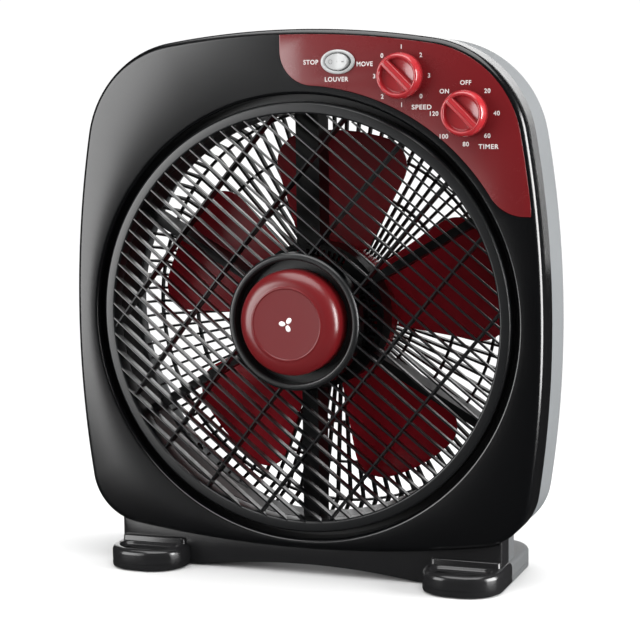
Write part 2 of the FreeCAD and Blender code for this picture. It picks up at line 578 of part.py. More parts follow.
def build_louver():
    """Thirty-five leaning slats tied by crossing strips, cut to a shallow dome, on a rim and a hub ring."""
    axis = Vector(0, 1, 0)
    rim, hub = sheet.rim_inner, sheet.hub_radius
    front, rear = sheet.hub_front + 2, sheet.rim_rear
    length = 2 * sheet.louver_radius
    low = rear - front

    def strip(pitch, index, thick):
        return Part.makeBox(length, low, thick, Vector(-length / 2, front, index * pitch - thick / 2))

    slats = [strip(sheet.slat_pitch, i, sheet.slat_thick).rotated(
        Vector(0, sheet.lean_place, i * sheet.slat_pitch), Vector(1, 0, 0), -sheet.slat_lean)
        for i in range(-17, 18)]
    ties = [strip(sheet.tie_pitch, i + 0.5, sheet.tie_thick).rotated(Vector(), axis, 90)
            for i in range(-4, 4)]
    grid = slats[0].multiFuse(slats[1:] + ties).rotated(Vector(), axis, sheet.slat_turn)
    middle = (rim + hub) / 2
    band = [(hub - 2, front), (middle, front + 5.5), (rim + 1, sheet.rim_front + 0.4),
            (rim + 1, rear - 1), (middle, rear - 9.5), (hub - 2, sheet.hub_rear - 1)]
    face = Part.Face(Part.makePolygon([Vector(x, y, 0) for x, y in band + band[:1]]))
    grid = grid.common(face.revolve(Vector(), axis, 360))

    def ring(outer, inner, start, end):
        out = Part.makeCylinder(outer, end - start, Vector(0, start, 0), axis)
        return out.cut(Part.makeCylinder(inner, end - start, Vector(0, start, 0), axis))

    rim_ring = ring(sheet.louver_radius, rim, sheet.rim_front, rear)
    hub_ring = ring(hub, sheet.hub_inner, sheet.hub_front, sheet.hub_rear)
    floor = Part.makeCylinder(sheet.hub_inner + 1, 2.5, Vector(0, sheet.hub_floor, 0), axis)
    boss = Part.makeCylinder(7.5, 11, Vector(0, sheet.hub_floor, 0), axis)
    socket = Part.makeCylinder(sheet.louver_shaft_radius, 20, Vector(0, sheet.louver_shaft_front, 0), axis)
    screw_way = Part.makeCylinder(sheet.pilot_radius + 0.2, 20, Vector(0, sheet.hub_floor - 1, 0), axis)
    body = rim_ring.multiFuse([grid, hub_ring, floor, boss]).cut(Part.makeCompound([socket, screw_way]))
    plain("louver_grille", body.removeSplitter())

    cap = [("0", "cap_front + 0.4"), ("cap_step_radius - 0.6", "cap_front + 0.6"),
           ("cap_step_radius + 0.6", "cap_front"), ("cap_radius - 6", "cap_front + 2"),
           ("cap_radius - 2", "cap_front + 5.4"), ("cap_radius - 0.2", "cap_front + 11"),
           ("cap_radius", "hub_floor"), ("cap_radius - cap_wall", "hub_floor"),
           ("cap_radius - cap_wall - 0.4", "cap_front + 12"), ("cap_radius - 7", "cap_front + 5"),
           ("0", "cap_front + 3")]
    node("louver_cap", turned("louver_cap", cap))
    shaft = rod("louver_spindle_bar", "louver_shaft_radius", "louver_shaft_front", "gearbox_rear - 5")
    bore = rod("louver_spindle_bore", "pilot_radius", "louver_shaft_front - 1", "louver_shaft_front + 7")
    node("louver_spindle", cut("louver_spindle", shaft, bore))
    head = rod("louver_screw_head", "screw_head", "hub_floor - screw_cap", "hub_floor")
    shank = rod("louver_screw_shank", "pilot_radius", "hub_floor", "louver_shaft_front + 6")
    node("louver_screw", fuse("louver_screw", head, shank))
    node("louver_gear", tube("louver_gear", "gearbox_radius - 10", "louver_shaft_radius",
                             "gearbox_rear - 9", "gearbox_rear - 6"))


def build_louver_drive():
    can = turned("louver_motor_can", [
        ("louver_bore", "gearbox_front"), ("gearbox_radius", "gearbox_front"),
        ("gearbox_radius", "gearbox_rear"), ("gearbox_radius - gearbox_wall", "gearbox_rear"),
        ("gearbox_radius - gearbox_wall", "gearbox_front + gearbox_wall"),
        ("louver_bore + 3", "gearbox_front + gearbox_wall"), ("louver_bore + 3", "gearbox_front + 3.5"),
        ("louver_bore", "gearbox_front + 3.5")])
    node("louver_motor_can", can)
    node("louver_motor_coil", tube("louver_motor_coil", "gearbox_radius - gearbox_wall",
                                   "gearbox_radius - 8", "gearbox_rear - 7", "gearbox_rear"))
    ears = [rod(f"drive_ear_{i}", "5", "gearbox_rear", "gearbox_rear + gearbox_wall", x)
            for i, x in enumerate(("-gearbox_ear", "gearbox_ear"))]
    strap = block("drive_strap", "-gearbox_ear", "gearbox_ear", "gearbox_rear",
                  "gearbox_rear + gearbox_wall", "axis_height - 5", "axis_height + 5")
    disc = rod("drive_disc", "gearbox_radius", "gearbox_rear", "gearbox_rear + gearbox_wall")
    holes = [rod(f"drive_hole_{i}", "screw_bore", "gearbox_rear - 1", "cup_front", x)
             for i, x in enumerate(("-gearbox_ear", "gearbox_ear"))]
    node("louver_motor_plate", cut("louver_motor_plate", fuse("drive_plate", disc, strap, *ears), *holes))
    made = []
    for i, x in enumerate(("-gearbox_ear", "gearbox_ear")):
        name = f"drive_screw_{i}"
        head = rod(name + "_head", "screw_head - 0.4", "gearbox_rear - 2", "gearbox_rear", x)
        shank = rod(name + "_shank", "pilot_radius", "gearbox_rear", "cup_front + 1", x)
        made.append(fuse(name, head, shank))
    node("louver_motor_screws", group("louver_motor_screws", made))


# ---- motor bracket and cover --------------------------------------------------------------------

def arm(name, angle, width):
    """One radial arm from the cup to the duct ring."""
    bar = bind(doc.addObject("Part::Box", name), Length="duct_inner + 1 - cup_inner",
               Width="arm_depth", Height=width)
    turn = Rotation(Vector(0, 1, 0), -angle)
    bar.Placement = Placement(Vector(), turn)
    cos, sin = f"{math.cos(math.radians(angle)):.6f}", f"{math.sin(math.radians(angle)):.6f}"
    bar.setExpression("Placement.Base.x", formula(f"(cup_inner + 0.5) * {cos} + {width} / 2 * {sin}"))
    bar.setExpression("Placement.Base.y", formula("arm_front"))
    bar.setExpression("Placement.Base.z",
                      formula(f"axis_height + (cup_inner + 0.5) * {sin} - {width} / 2 * {cos}"))
    return bar


BOLTS = [(f"{sx} * bolt_circle * 0.70710678", f"axis_height + {sz} * bolt_circle * 0.70710678")
         for sx in (-1, 1) for sz in (-1, 1)]


def build_motor_bracket():
    duct = turned("bracket_duct", [
        ("duct_inner", "duct_front"), ("duct_outer", "duct_front"), ("duct_outer", "collar_end"),
        ("flange_radius", "collar_end"), ("flange_radius", "collar_end + flange_thick"),
        ("duct_outer", "collar_end + flange_thick"), ("duct_outer", "duct_rear"),
        ("duct_inner", "duct_rear")])
    ears = [rod(f"bracket_ear_{i}", "ear_radius", "collar_end", "collar_end + flange_thick", x, z)
            for i, (x, z) in enumerate(EARS)]
    arms = [arm("arm_top", 90, "top_arm_width"), arm("arm_low", -90, "low_arm_width")]
    arms += [arm(f"arm_{i}", angle, "arm_width") for i, angle in enumerate((30, 150, -30, -150))]
    cup = tube("bracket_cup", "cup_outer", "cup_inner", "cup_front", "cup_rear")
    lugs = []
    for i, angle in enumerate((45, 135, 225, 315)):
        lug = bind(doc.addObject("Part::Box", f"motor_lug_{i}"), Length="cup_inner + 1 - 39",
                   Width="motor_front - cup_front - cover_thick", Height="12")
        lug.Placement = Placement(Vector(), Rotation(Vector(0, 1, 0), -angle))
        cos, sin = math.cos(math.radians(angle)), math.sin(math.radians(angle))
        lug.Placement.Base = Vector(39 * cos + 6 * sin, 0, 0)
        lug.setExpression("Placement.Base.y", formula("cup_front + cover_thick"))
        lug.setExpression("Placement.Base.z", formula(f"axis_height + {39 * sin - 6 * cos:.6f}"))
        lugs.append(lug)
    holes = [rod(f"bracket_hole_{i}", "screw_bore", "collar_end - 1", "collar_end + flange_thick + 1", x, z)
             for i, (x, z) in enumerate(EARS)]
    for i, (x, z) in enumerate(BOLTS):
        holes.append(rod(f"bolt_way_{i}", "bolt_radius + 0.1", "cup_front", "motor_front + 1", x, z))
        holes.append(rod(f"bolt_sink_{i}", "screw_head + 0.2",
                         "cup_front", "cup_front + cover_thick + 2.3", x, z))
    channel = block("wire_channel", "-channel_width / 2", "channel_width / 2",
                    "arm_front + arm_depth - channel_depth", "arm_front + arm_depth + 1",
                    "axis_height + cup_outer - 1", "axis_height + duct_inner - 1")
    lead_way = bind(doc.addObject("Part::Cylinder", "lead_way"), Radius="lead_hole",
                    Height="flange_radius + 8 - 48")
    place(lead_way, "0", "arm_front + arm_depth - channel_depth + lead_hole", "axis_height + 48")
    node("motor_bracket", cut("motor_bracket", fuse("bracket_ring", duct, *ears), lead_way, *holes))
    node("motor_cup", cut("motor_cup", fuse("cup_body", cup, *lugs), channel, lead_way, *holes))
    span = tube("arm_span", "duct_inner", "cup_outer", "arm_front", "arm_front + arm_depth")
    trimmed = [common(f"arm_trim_{i}", item, span) for i, item in enumerate(arms)]
    trimmed[0] = cut("arm_top_channelled", trimmed[0], channel, lead_way)
    node("bracket_arms", group("bracket_arms", trimmed))
    screws("bracket_screws", "collar_end + flange_thick", "collar_end - 8", EARS)
    node("wire_channel_lid", block("wire_channel_lid", "-channel_width / 2 + 0.1", "channel_width / 2 - 0.1",
                                   "arm_front + arm_depth - lid_thick", "arm_front + arm_depth",
                                   "axis_height + cup_outer + 0.2", "axis_height + duct_inner - 1.2"))
    lead = bind(doc.addObject("Part::Cylinder", "motor_lead"), Radius="lead_radius",
                Height="flange_radius + 6 - 52")
    node("motor_lead", place(lead, "0", "arm_front + arm_depth - channel_depth + lead_hole",
                             "axis_height + 52"))


def build_motor_cover():
    """The vented disc that closes the motor cup; two rows of radial slots."""
    start, end = sheet.cup_front, sheet.cup_front + sheet.cover_thick
    axis = Vector(0, 1, 0)
    disc = Part.makeCylinder(sheet.cover_radius, sheet.cover_thick, Vector(0, start, 0), axis)
    width = sheet.vent_width
    slots = []
    for i in range(72):
        angle = 5 * i
        if min((angle - 45) % 90, (45 - angle) % 90) < 11:
            continue
        for inner, outer in ((sheet.vent_inner, sheet.vent_middle - 0.9),
                             (sheet.vent_middle + 0.9, sheet.vent_outer)):
            slot = Part.makeBox(outer - inner, 6, width, Vector(inner, start - 1, -width / 2))
            slots.append(slot.rotated(Vector(), axis, angle))
    cover = disc.cut(Part.makeCompound(slots))
    post_height = sheet.cup_front - sheet.gearbox_rear - sheet.gearbox_wall
    posts = [Part.makeCylinder(4, post_height + 1, Vector(x, start - post_height, 0), axis)
             for x in (-sheet.gearbox_ear, sheet.gearbox_ear)]
    pilots = [Part.makeCylinder(sheet.pilot_radius, 5.8, Vector(x, start - post_height, 0), axis)
              for x in (-sheet.gearbox_ear, sheet.gearbox_ear)]
    cover = cover.multiFuse(posts)
    plain("motor_cover", cover.cut(Part.makeCompound(pilots)))


# ---- motor --------------------------------------------------------------------------------------

def bell(name, start, end, pocket_start, pocket_end, seat_start, seat_end):
    """A cast end bracket: square with rounded corners, a pocket for the winding and a bush seat."""
    square = block(name + "_square", "-stack_half", "stack_half", start, end,
                   "axis_height - stack_half", "axis_height + stack_half")
    blank = common(name + "_blank", square, rod(name + "_round", "stack_round", start, end))
    cutters = [rod(name + "_pocket", "slot_outer + 0.3", pocket_start, pocket_end),
               rod(name + "_seat", "bush_radius", seat_start, seat_end)]
    cutters += [rod(f"{name}_way_{i}", "bolt_radius + 0.1", f"{start} - 1", f"{end} + 1", x, z)
                for i, (x, z) in enumerate(BOLTS)]
    return node(name, cut(name, blank, *cutters))


def build_motor():
    bell("motor_front_bracket", "motor_front", "stack_front", "motor_front + 3.5", "stack_front + 1",
         "motor_front - 1", "motor_front + 4")
    bell("motor_rear_bracket", "stack_rear", "motor_rear", "stack_rear - 1", "motor_rear - 4",
         "motor_rear - 5", "motor_rear + 1")
    square = block("stack_square", "-stack_half", "stack_half", "stack_front", "stack_rear",
                   "axis_height - stack_half", "axis_height + stack_half")
    blank = common("stack_blank", square, rod("stack_round_bar", "stack_round", "stack_front", "stack_rear"))
    cutters = [rod("stack_bore", "stator_bore", "stack_front - 1", "stack_rear + 1")]
    cutters += [rod(f"stack_way_{i}", "bolt_radius + 0.1", "stack_front - 1", "stack_rear + 1", x, z)
                for i, (x, z) in enumerate(BOLTS)]
    node("stator_core", cut("stator_core", blank, *cutters))
    node("stator_windings", group("stator_windings", [
        tube("winding_front", "winding_outer", "winding_inner", "motor_front + 4.2", "stack_front"),
        tube("winding_rear", "winding_outer", "winding_inner", "stack_rear", "motor_rear - 4.8")]))
    node("front_bush", tube("front_bush", "bush_radius", "bush_bore", "motor_front", "motor_front + 4"))
    node("rear_bush", tube("rear_bush", "bush_radius", "bush_bore", "motor_rear - 4", "motor_rear"))
    bolts = []
    for i, (x, z) in enumerate(BOLTS):
        seat = "cup_front + cover_thick + 2.3"
        bolts.append(fuse(f"motor_bolt_{i}",
                          rod(f"bolt_head_{i}", "screw_head", f"{seat} - 2", seat, x, z),
                          rod(f"bolt_shank_{i}", "bolt_radius", seat, "motor_rear", x, z),
                          rod(f"bolt_nut_{i}", "screw_head", "motor_rear", "motor_rear + 1.4", x, z)))
    node("motor_bolts", group("motor_bolts", bolts))
    node("rotor_core", tube("rotor_core", "rotor_radius", "shaft_radius", "stack_front - 0.5",
                            "stack_rear + 0.5"))
    shaft = rod("shaft_bar", "shaft_radius", "motor_front + 0.3", "shaft_end")
    cross = bind(doc.addObject("Part::Cylinder", "shaft_cross_hole"), Radius="pin_radius",
                 Height="pin_length + 4")
    place(cross, "-pin_length / 2 - 2", "motor_rear + 2.8", "axis_height", Rotation(Vector(0, 1, 0), 90))
    node("motor_shaft", cut("motor_shaft", shaft, cross))
    pin = bind(doc.addObject("Part::Cylinder", "drive_pin"), Radius="pin_radius", Height="pin_length")
    node("drive_pin", place(pin, "-pin_length / 2", "motor_rear + 2.8", "axis_height",
                            Rotation(Vector(0, 1, 0), 90)))
    node("thrust_washer", tube("thrust_washer", "bush_radius - 0.6", "shaft_radius", "motor_rear + 0.3",
                               "motor_rear + 1.3"))


# ---- impeller -----------------------------------------------------------------------------------

def blade_section(radius, half, front, back, sag):
    """A thin cambered strip across the blade, in the plane at one radius."""
    thick = Vector(0, sheet.blade_thick, 0)
    first, last = Vector(-half, front, radius), Vector(half, back, radius)
    middle = (first + last) / 2 + Vector(0, sag, 0)
    face = Part.Arc(first, middle, last).toShape()
    rear = Part.Arc(last + thick, middle + thick, first + thick).toShape()
    return Part.Wire([face, Part.makeLine(last, last + thick), rear, Part.makeLine(first + thick, first)])


def paddle_outline(root, side):
    """Front view of one blade: two straight sides, a round tip and two corner arcs tangent to both."""
    tip, corner = sheet.blade_tip, sheet.blade_corner
    outward = Vector(side.z, 0, -side.x)
    start = root - outward * corner
    along = start.dot(side)
    run = -along + math.sqrt(along ** 2 - start.dot(start) + (tip - corner) ** 2)
    centre = start + side * run
    leave = centre + outward * corner
    join = centre * (tip / (tip - corner))
    middle = centre + (outward + Vector(centre).normalize()).normalize() * corner

    def other(point):
        return Vector(-point.x, point.y, point.z)

    edges = [Part.makeLine(other(root), root), Part.makeLine(root, leave),
             Part.Arc(leave, middle, join).toShape(),
             Part.Arc(join, Vector(0, 0, tip), other(join)).toShape(),
             Part.Arc(other(join), other(middle), other(leave)).toShape(),
             Part.makeLine(other(leave), other(root))]
    return Part.Wire(edges)


def build_impeller():
    axis = Vector(0, 1, 0)
    tip, hub = sheet.blade_tip, sheet.blade_hub
    angle = math.radians(sheet.blade_half_angle)
    root = blade_section(hub - 2.2, 30, 21.5, 46.5, 2.5)
    end = blade_section(tip + 6, 74, 20.5, 53.5, 7)
    twisted = Part.makeLoft([root, end], True)
    spread = angle * 0.88
    outline = paddle_outline(Vector(26, 0, hub - 4), Vector(math.sin(spread), 0, math.cos(spread)))
    sector = Part.Face(outline).extrude(Vector(0, 60, 0))
    blade = twisted.common(sector)
    blades = [blade.rotated(Vector(), axis, 90 - sheet.first_blade + 72 * i) for i in range(5)]
    front, back, wall = sheet.blade_front, sheet.blade_back, sheet.hub_wall
    boss_front = sheet.motor_rear + 1.3
    profile = [(sheet.shaft_radius, back), (hub - 4, back), (hub, back - 4), (hub, front),
               (hub - wall, front), (hub - wall, back - wall - 1.4), (11.5, back - wall - 1.4),
               (11.5, boss_front), (sheet.shaft_radius, boss_front), (sheet.shaft_radius, back)]
    cup = Part.Face(Part.makePolygon([Vector(x, y, 0) for x, y in profile])).revolve(Vector(), axis, 360)
    pin_slot = Part.makeBox(sheet.pin_length + 1, 3, 2 * sheet.pin_radius,
                            Vector(-sheet.pin_length / 2 - 0.5, boss_front - 0.1, -sheet.pin_radius))
    plain("fan_hub", cup.cut(pin_slot))
    inside = Part.makeCylinder(hub, 80, Vector(), axis)
    plain("fan_blade", Part.makeCompound([item.cut(inside) for item in blades]))
    node("blade_nut", turned("blade_nut", [
        ("shaft_radius", "blade_back"), ("nut_outer", "blade_back"), ("nut_outer", "blade_back + 4"),
        ("nut_outer - 3", "nut_end"), ("0", "nut_end"), ("0", "shaft_end"),
        ("shaft_radius", "shaft_end")]))


# ---- stand --------------------------------------------------------------------------------------

def foot_block(name, side, start, end, corner_place):
    x_low = f"{side} * foot_centre - foot_width / 2"
    blank = block(name + "_block", x_low, f"{side} * foot_centre + foot_width / 2", start, end,
                  "foot_base", "foot_height")
    centre, half = side * sheet.foot_centre, sheet.foot_width / 2
    return rounded(name, blank, "foot_corner", upright_near((centre - half, centre + half), corner_place))


def build_stand():
    pads = []
    case_space = case_prism("stand_case_space", "-stand_gap", "stand_front - 1", "stand_rear + 1")
    arch = rod("stand_arch", "arch_radius", "stand_front - 1", "stand_rear + 1",
               "0", "arch_height - arch_radius")
    for label, start, end, tip in (("stand_front", "stand_front", "stand_joint", "foot_front"),
                                   ("stand_rear", "stand_joint", "stand_rear", "foot_back")):
        web = block(label + "_web", "-stand_half", "stand_half", start, end, "foot_base", "60")
        web = cut(label + "_bridge", web, case_space, arch)
        pieces = [web]
        holes = []
        for side in (-1, 1):
            name = f"{label}_foot_{'left' if side < 0 else 'right'}"
            first, last = (tip, end) if label == "stand_front" else (start, tip)
            pieces.append(foot_block(name, side, first, last, getattr(sheet, tip)))
            left = f"{side} * foot_centre - foot_width / 2"
            right = f"{side} * foot_centre + foot_width / 2"
            if label == "stand_front":
                pieces.append(block(name + "_collar", f"{left} + 4", f"{right} - 4",
                                    "collar_place - collar_thick", "collar_place + 0.5",
                                    "foot_base", "collar_height"))
                holes.append(rounded(name + "_dish", block(
                    name + "_recess", left + " + dish_margin", right + " - dish_margin",
                    "foot_front + dish_margin", "collar_place - collar_thick - 1.5",
                    "foot_height - dish_depth", "foot_height + 10"), "dish_round",
                    upright_near((side * sheet.foot_centre - sheet.foot_width / 2 + sheet.dish_margin,
                                  side * sheet.foot_centre + sheet.foot_width / 2 - sheet.dish_margin),
                                 sheet.foot_front + sheet.dish_margin)))
            pad_place = "foot_front + 26" if label == "stand_front" else "foot_back - 24"
            hole = bind(doc.addObject("Part::Cylinder", name + "_pad_hole"), Radius="pad_radius",
                        Height="pad_height")
            holes.append(place(hole, f"{side} * foot_centre", pad_place, "0"))
            pad = bind(doc.addObject("Part::Cylinder", name + "_pad"), Radius="pad_radius",
                       Height="pad_height")
            pads.append(place(pad, f"{side} * foot_centre", pad_place, "0"))
        for side in (-1, 1):
            holes.append(rod(f"{label}_screw_way_{side + 1}", "screw_bore", "stand_joint", "stand_rear + 1",
                             f"{side} * foot_centre", "stand_screw_height"))
            holes.append(rod(f"{label}_pilot_{side + 1}", "pilot_radius", "stand_joint - 12", "stand_joint",
                             f"{side} * foot_centre", "stand_screw_height"))
        base = fuse(label + "_body", *pieces)
        node(label, cut(label, base, case_space, *holes))
    node("foot_pads", group("foot_pads", pads))
    screws("stand_screws", "stand_rear", "stand_joint - 10",
           [("-foot_centre", "stand_screw_height"), ("foot_centre", "stand_screw_height")])


def check_and_write():
    doc.recompute()
    for item in doc.Objects:
        if "Invalid" in item.State or "Error" in item.State:
            raise RuntimeError(f"{item.Name} did not recompute: {item.State}")
    for label, item in nodes.items():
        shape = item.Shape
        if shape.isNull() or not shape.isValid() or not shape.Solids:
            raise RuntimeError(f"{label} has no valid solid")
    os.makedirs("parts", exist_ok=True)
    for label, item in nodes.items():
        item.Shape.exportStep(f"parts/{label}.step")
        box = item.Shape.BoundBox
        print(f"{label:22s} {len(item.Shape.Solids):2d} solids  {item.Shape.Volume / 1000:9.2f} cm3  "
              f"x {box.XMin:7.1f} {box.XMax:7.1f}  y {box.YMin:6.1f} {box.YMax:6.1f}  "
              f"z {box.ZMin:6.1f} {box.ZMax:6.1f}")


build_front_shell()
build_control_panel()
build_rear_shell()
build_rear_grille()
build_case_fittings()
build_controls()
build_louver()
build_louver_drive()
build_motor_bracket()
build_motor_cover()
build_motor()
build_impeller()
build_stand()
check_and_write()
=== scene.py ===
import json
import math

import bmesh
import bpy
from mathutils import Matrix, Vector, kdtree


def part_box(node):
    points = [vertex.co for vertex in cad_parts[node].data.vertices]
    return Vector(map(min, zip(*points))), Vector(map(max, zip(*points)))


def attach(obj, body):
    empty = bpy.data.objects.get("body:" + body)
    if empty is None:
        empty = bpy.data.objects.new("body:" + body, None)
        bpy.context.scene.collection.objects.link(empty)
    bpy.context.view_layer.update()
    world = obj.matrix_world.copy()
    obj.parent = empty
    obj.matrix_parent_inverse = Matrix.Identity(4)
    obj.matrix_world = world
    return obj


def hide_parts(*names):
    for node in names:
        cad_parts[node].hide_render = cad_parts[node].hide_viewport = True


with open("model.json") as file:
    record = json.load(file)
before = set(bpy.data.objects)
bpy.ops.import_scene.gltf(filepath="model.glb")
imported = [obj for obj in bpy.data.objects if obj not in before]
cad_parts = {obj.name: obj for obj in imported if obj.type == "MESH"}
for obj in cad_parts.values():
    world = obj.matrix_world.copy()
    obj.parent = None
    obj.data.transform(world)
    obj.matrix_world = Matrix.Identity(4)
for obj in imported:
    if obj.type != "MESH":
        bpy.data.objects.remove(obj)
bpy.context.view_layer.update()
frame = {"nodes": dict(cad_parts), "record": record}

# ---- Front shell ----
# A glossy black moulded frame: a flat face with rounded outer edge, a bevelled round opening, and a
# collar behind it that the motor bracket is screwed to.  A shallow recess takes the control panel.
MM = 0.001
front_low, front_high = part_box("front_shell")
louver_low, louver_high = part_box("louver_grille")
axis_z = (louver_low[2] + louver_high[2]) / 2
face_y = front_low[1]
seam_y = front_high[1]
half_width = front_high[0]
rise = front_high[2] - axis_z
drop = axis_z - front_low[2]

# Both shells, the panel and the stand follow one outline of tangent arcs round the fan's axis.
side_bow, top_bow, low_bow = 893 * MM, 711 * MM, 999 * MM
top_corner, low_corner = 90 * MM, 46 * MM
widest_drop = 5 * MM
opening = 181 * MM


def corner_centre(first, first_radius, second, second_radius, radius, up):
    """Centre of a small arc that touches two large arcs from inside."""
    gap = math.dist(first, second)
    near, far = first_radius - radius, second_radius - radius
    along = (near ** 2 - far ** 2 + gap ** 2) / (2 * gap)
    off = math.sqrt(near ** 2 - along ** 2)
    ux, uz = (second[0] - first[0]) / gap, (second[1] - first[1]) / gap
    both = [(first[0] + along * ux - s * off * uz, first[1] + along * uz + s * off * ux) for s in (1, -1)]
    return max(both, key=lambda p: p[0] + up * p[1])


def case_arcs():
    """Right half of the outline, from the bottom to the top: centre, radius, first and last angle."""
    side = (half_width - side_bow, -widest_drop)
    top, low = (0.0, rise - top_bow), (0.0, low_bow - drop)
    upper = corner_centre(side, side_bow, top, top_bow, top_corner, 1)
    lower = corner_centre(side, side_bow, low, low_bow, low_corner, -1)

    def bearing(a, b):
        return math.atan2(b[1] - a[1], b[0] - a[0])

    up, down = bearing(side, upper), bearing(side, lower)
    top_end, low_end = bearing(top, upper), bearing(low, lower)
    return [(low, low_bow, -math.pi / 2, low_end), (lower, low_corner, low_end, down),
            (side, side_bow, down, up), (upper, top_corner, up, top_end),
            (top, top_bow, top_end, math.pi / 2)]


def outline(inset=0.0):
    """Points (x, z) round the case, counted from the bottom, the same number at every inset."""
    half = []
    for centre, radius, first, last in case_arcs():
        steps = 40 if radius < 0.2 else 34
        for i in range(steps):
            a = first + (last - first) * i / steps
            reach = radius - inset
            half.append((centre[0] + reach * math.cos(a), centre[1] + reach * math.sin(a)))
    top = (0.0, rise - inset)
    left = [(-x, z) for x, z in reversed(half[1:])]
    return half + [top] + left


def circle_like(points, radius):
    """A circle round the axis with its points in line with the given ones."""
    return [(radius * x / math.hypot(x, z), radius * z / math.hypot(x, z)) for x, z in points]


def on_case(points, y):
    return [Vector((x, y, axis_z + z)) for x, z in points]


def add_object(name, verts, faces):
    mesh = bpy.data.meshes.new(name)
    mesh.from_pydata([tuple(v) for v in verts], [], faces)
    obj = bpy.data.objects.new(name, mesh)
    bpy.context.collection.objects.link(obj)
    return obj


def tidy(obj, angle=32):
    """Merges doubled points, turns the faces outwards and keeps only the sharp edges sharp."""
    work = bmesh.new()
    work.from_mesh(obj.data)
    bmesh.ops.remove_doubles(work, verts=work.verts, dist=1e-6)
    bmesh.ops.dissolve_degenerate(work, edges=work.edges, dist=1e-7)
    bmesh.ops.recalc_face_normals(work, faces=work.faces)
    work.to_mesh(obj.data)
    work.free()
    obj.data.shade_smooth()
    obj.data.set_sharp_from_angle(angle=math.radians(angle))
    return obj


def skin(name, rings, closed=True, angle=32):
    """Joins rings of equal length into a surface; closed joins the last ring to the first."""
    count = len(rings[0])
    verts = [v for ring in rings for v in ring]
    faces = []
    for r in range(len(rings) if closed else len(rings) - 1):
        a, b = r * count, (r + 1) % len(rings) * count
        for i in range(count):
            j = (i + 1) % count
            faces.append((a + i, a + j, b + j, b + i))
    return tidy(add_object(name, verts, faces), angle)


def apply_modifiers(obj):
    """Replaces the object's mesh by what its modifiers make, and removes them."""
    shaped = bpy.data.meshes.new_from_object(obj.evaluated_get(bpy.context.evaluated_depsgraph_get()))
    obj.modifiers.clear()
    obj.data = shaped
    return obj


def carve(obj, cutters, angle=32):
    """Cuts pockets and holes, then removes the cutters."""
    for cutter in cutters:
        modifier = obj.modifiers.new("cut", "BOOLEAN")
        modifier.operation = "DIFFERENCE"
        modifier.solver = "EXACT"
        modifier.object = cutter
    bpy.context.view_layer.update()
    apply_modifiers(obj)
    for cutter in cutters:
        bpy.data.objects.remove(cutter)
    obj.data.shade_smooth()
    obj.data.set_sharp_from_angle(angle=math.radians(angle))
    return obj


def fit(piece, body, slot, material, *nodes):
    """Gives a finished piece its material, hangs it on its body and hides the imported nodes it stands for;
    the slot is not used.
    """
    piece.data.materials.clear()
    piece.data.materials.append(material)
    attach(piece, body)
    if nodes:
        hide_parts(*nodes)
    return piece


def node_value(tree, operation, first, second=None, third=None):
    """A math node in a tree; numbers and sockets may be mixed."""
    node = tree.nodes.new("ShaderNodeMath")
    node.operation = operation
    for socket, value in zip(node.inputs, (first, second, third)):
        if isinstance(value, (int, float)):
            socket.default_value = value
        elif value is not None:
            tree.links.new(value, socket)
    return node.outputs[0]


def moulded_plastic_group():
    """Colour, gloss and relief: the mould leaves a fine grain, and handling leaves faint smudges."""
    group = bpy.data.node_groups.new("moulded_plastic", "ShaderNodeTree")
    for name, kind, start in (("Colour", "NodeSocketColor", (0.1, 0.1, 0.1, 1)),
                              ("Roughness", "NodeSocketFloat", 0.3), ("Grain Scale", "NodeSocketFloat", 900),
                              ("Grain", "NodeSocketFloat", 0.3), ("Smudge", "NodeSocketFloat", 0.05),
                              ("Tone", "NodeSocketFloat", 0.06)):
        socket = group.interface.new_socket(name, in_out="INPUT", socket_type=kind)
        socket.default_value = start
    for name, kind in (("Colour", "NodeSocketColor"), ("Roughness", "NodeSocketFloat"),
                       ("Height", "NodeSocketFloat")):
        group.interface.new_socket(name, in_out="OUTPUT", socket_type=kind)
    nodes, links = group.nodes, group.links
    given, result = nodes.new("NodeGroupInput"), nodes.new("NodeGroupOutput")
    place = nodes.new("ShaderNodeTexCoord")
    grain, smudge = nodes.new("ShaderNodeTexNoise"), nodes.new("ShaderNodeTexNoise")
    grain.inputs["Detail"].default_value = 2
    smudge.inputs["Scale"].default_value = 14
    smudge.inputs["Detail"].default_value = 5
    smudge.inputs["Roughness"].default_value = 0.6
    for noise in (grain, smudge):
        links.new(place.outputs["Object"], noise.inputs["Vector"])
    links.new(given.outputs["Grain Scale"], grain.inputs["Scale"])

    spread = node_value(group, "SUBTRACT", smudge.outputs["Fac"], 0.5)
    rough = node_value(group, "MULTIPLY_ADD", spread, given.outputs["Smudge"], given.outputs["Roughness"])
    speck = node_value(group, "SUBTRACT", grain.outputs["Fac"], 0.5)
    grain_part = node_value(group, "MULTIPLY", given.outputs["Grain"], 0.12)
    rough = node_value(group, "MULTIPLY_ADD", speck, grain_part, rough)
    tone = node_value(group, "MULTIPLY_ADD", spread, given.outputs["Tone"], 1.0)
    colour = nodes.new("ShaderNodeVectorMath")
    colour.operation = "SCALE"
    links.new(given.outputs["Colour"], colour.inputs[0])
    links.new(tone, colour.inputs["Scale"])
    links.new(colour.outputs[0], result.inputs["Colour"])
    links.new(rough, result.inputs["Roughness"])
    height = node_value(group, "MULTIPLY", grain.outputs["Fac"], given.outputs["Grain"])
    links.new(height, result.inputs["Height"])
    return group


moulded_plastic = moulded_plastic_group()


def new_material(name):
    material = bpy.data.materials.new(name)
    material.use_nodes = True
    return material, material.node_tree.nodes, material.node_tree.links


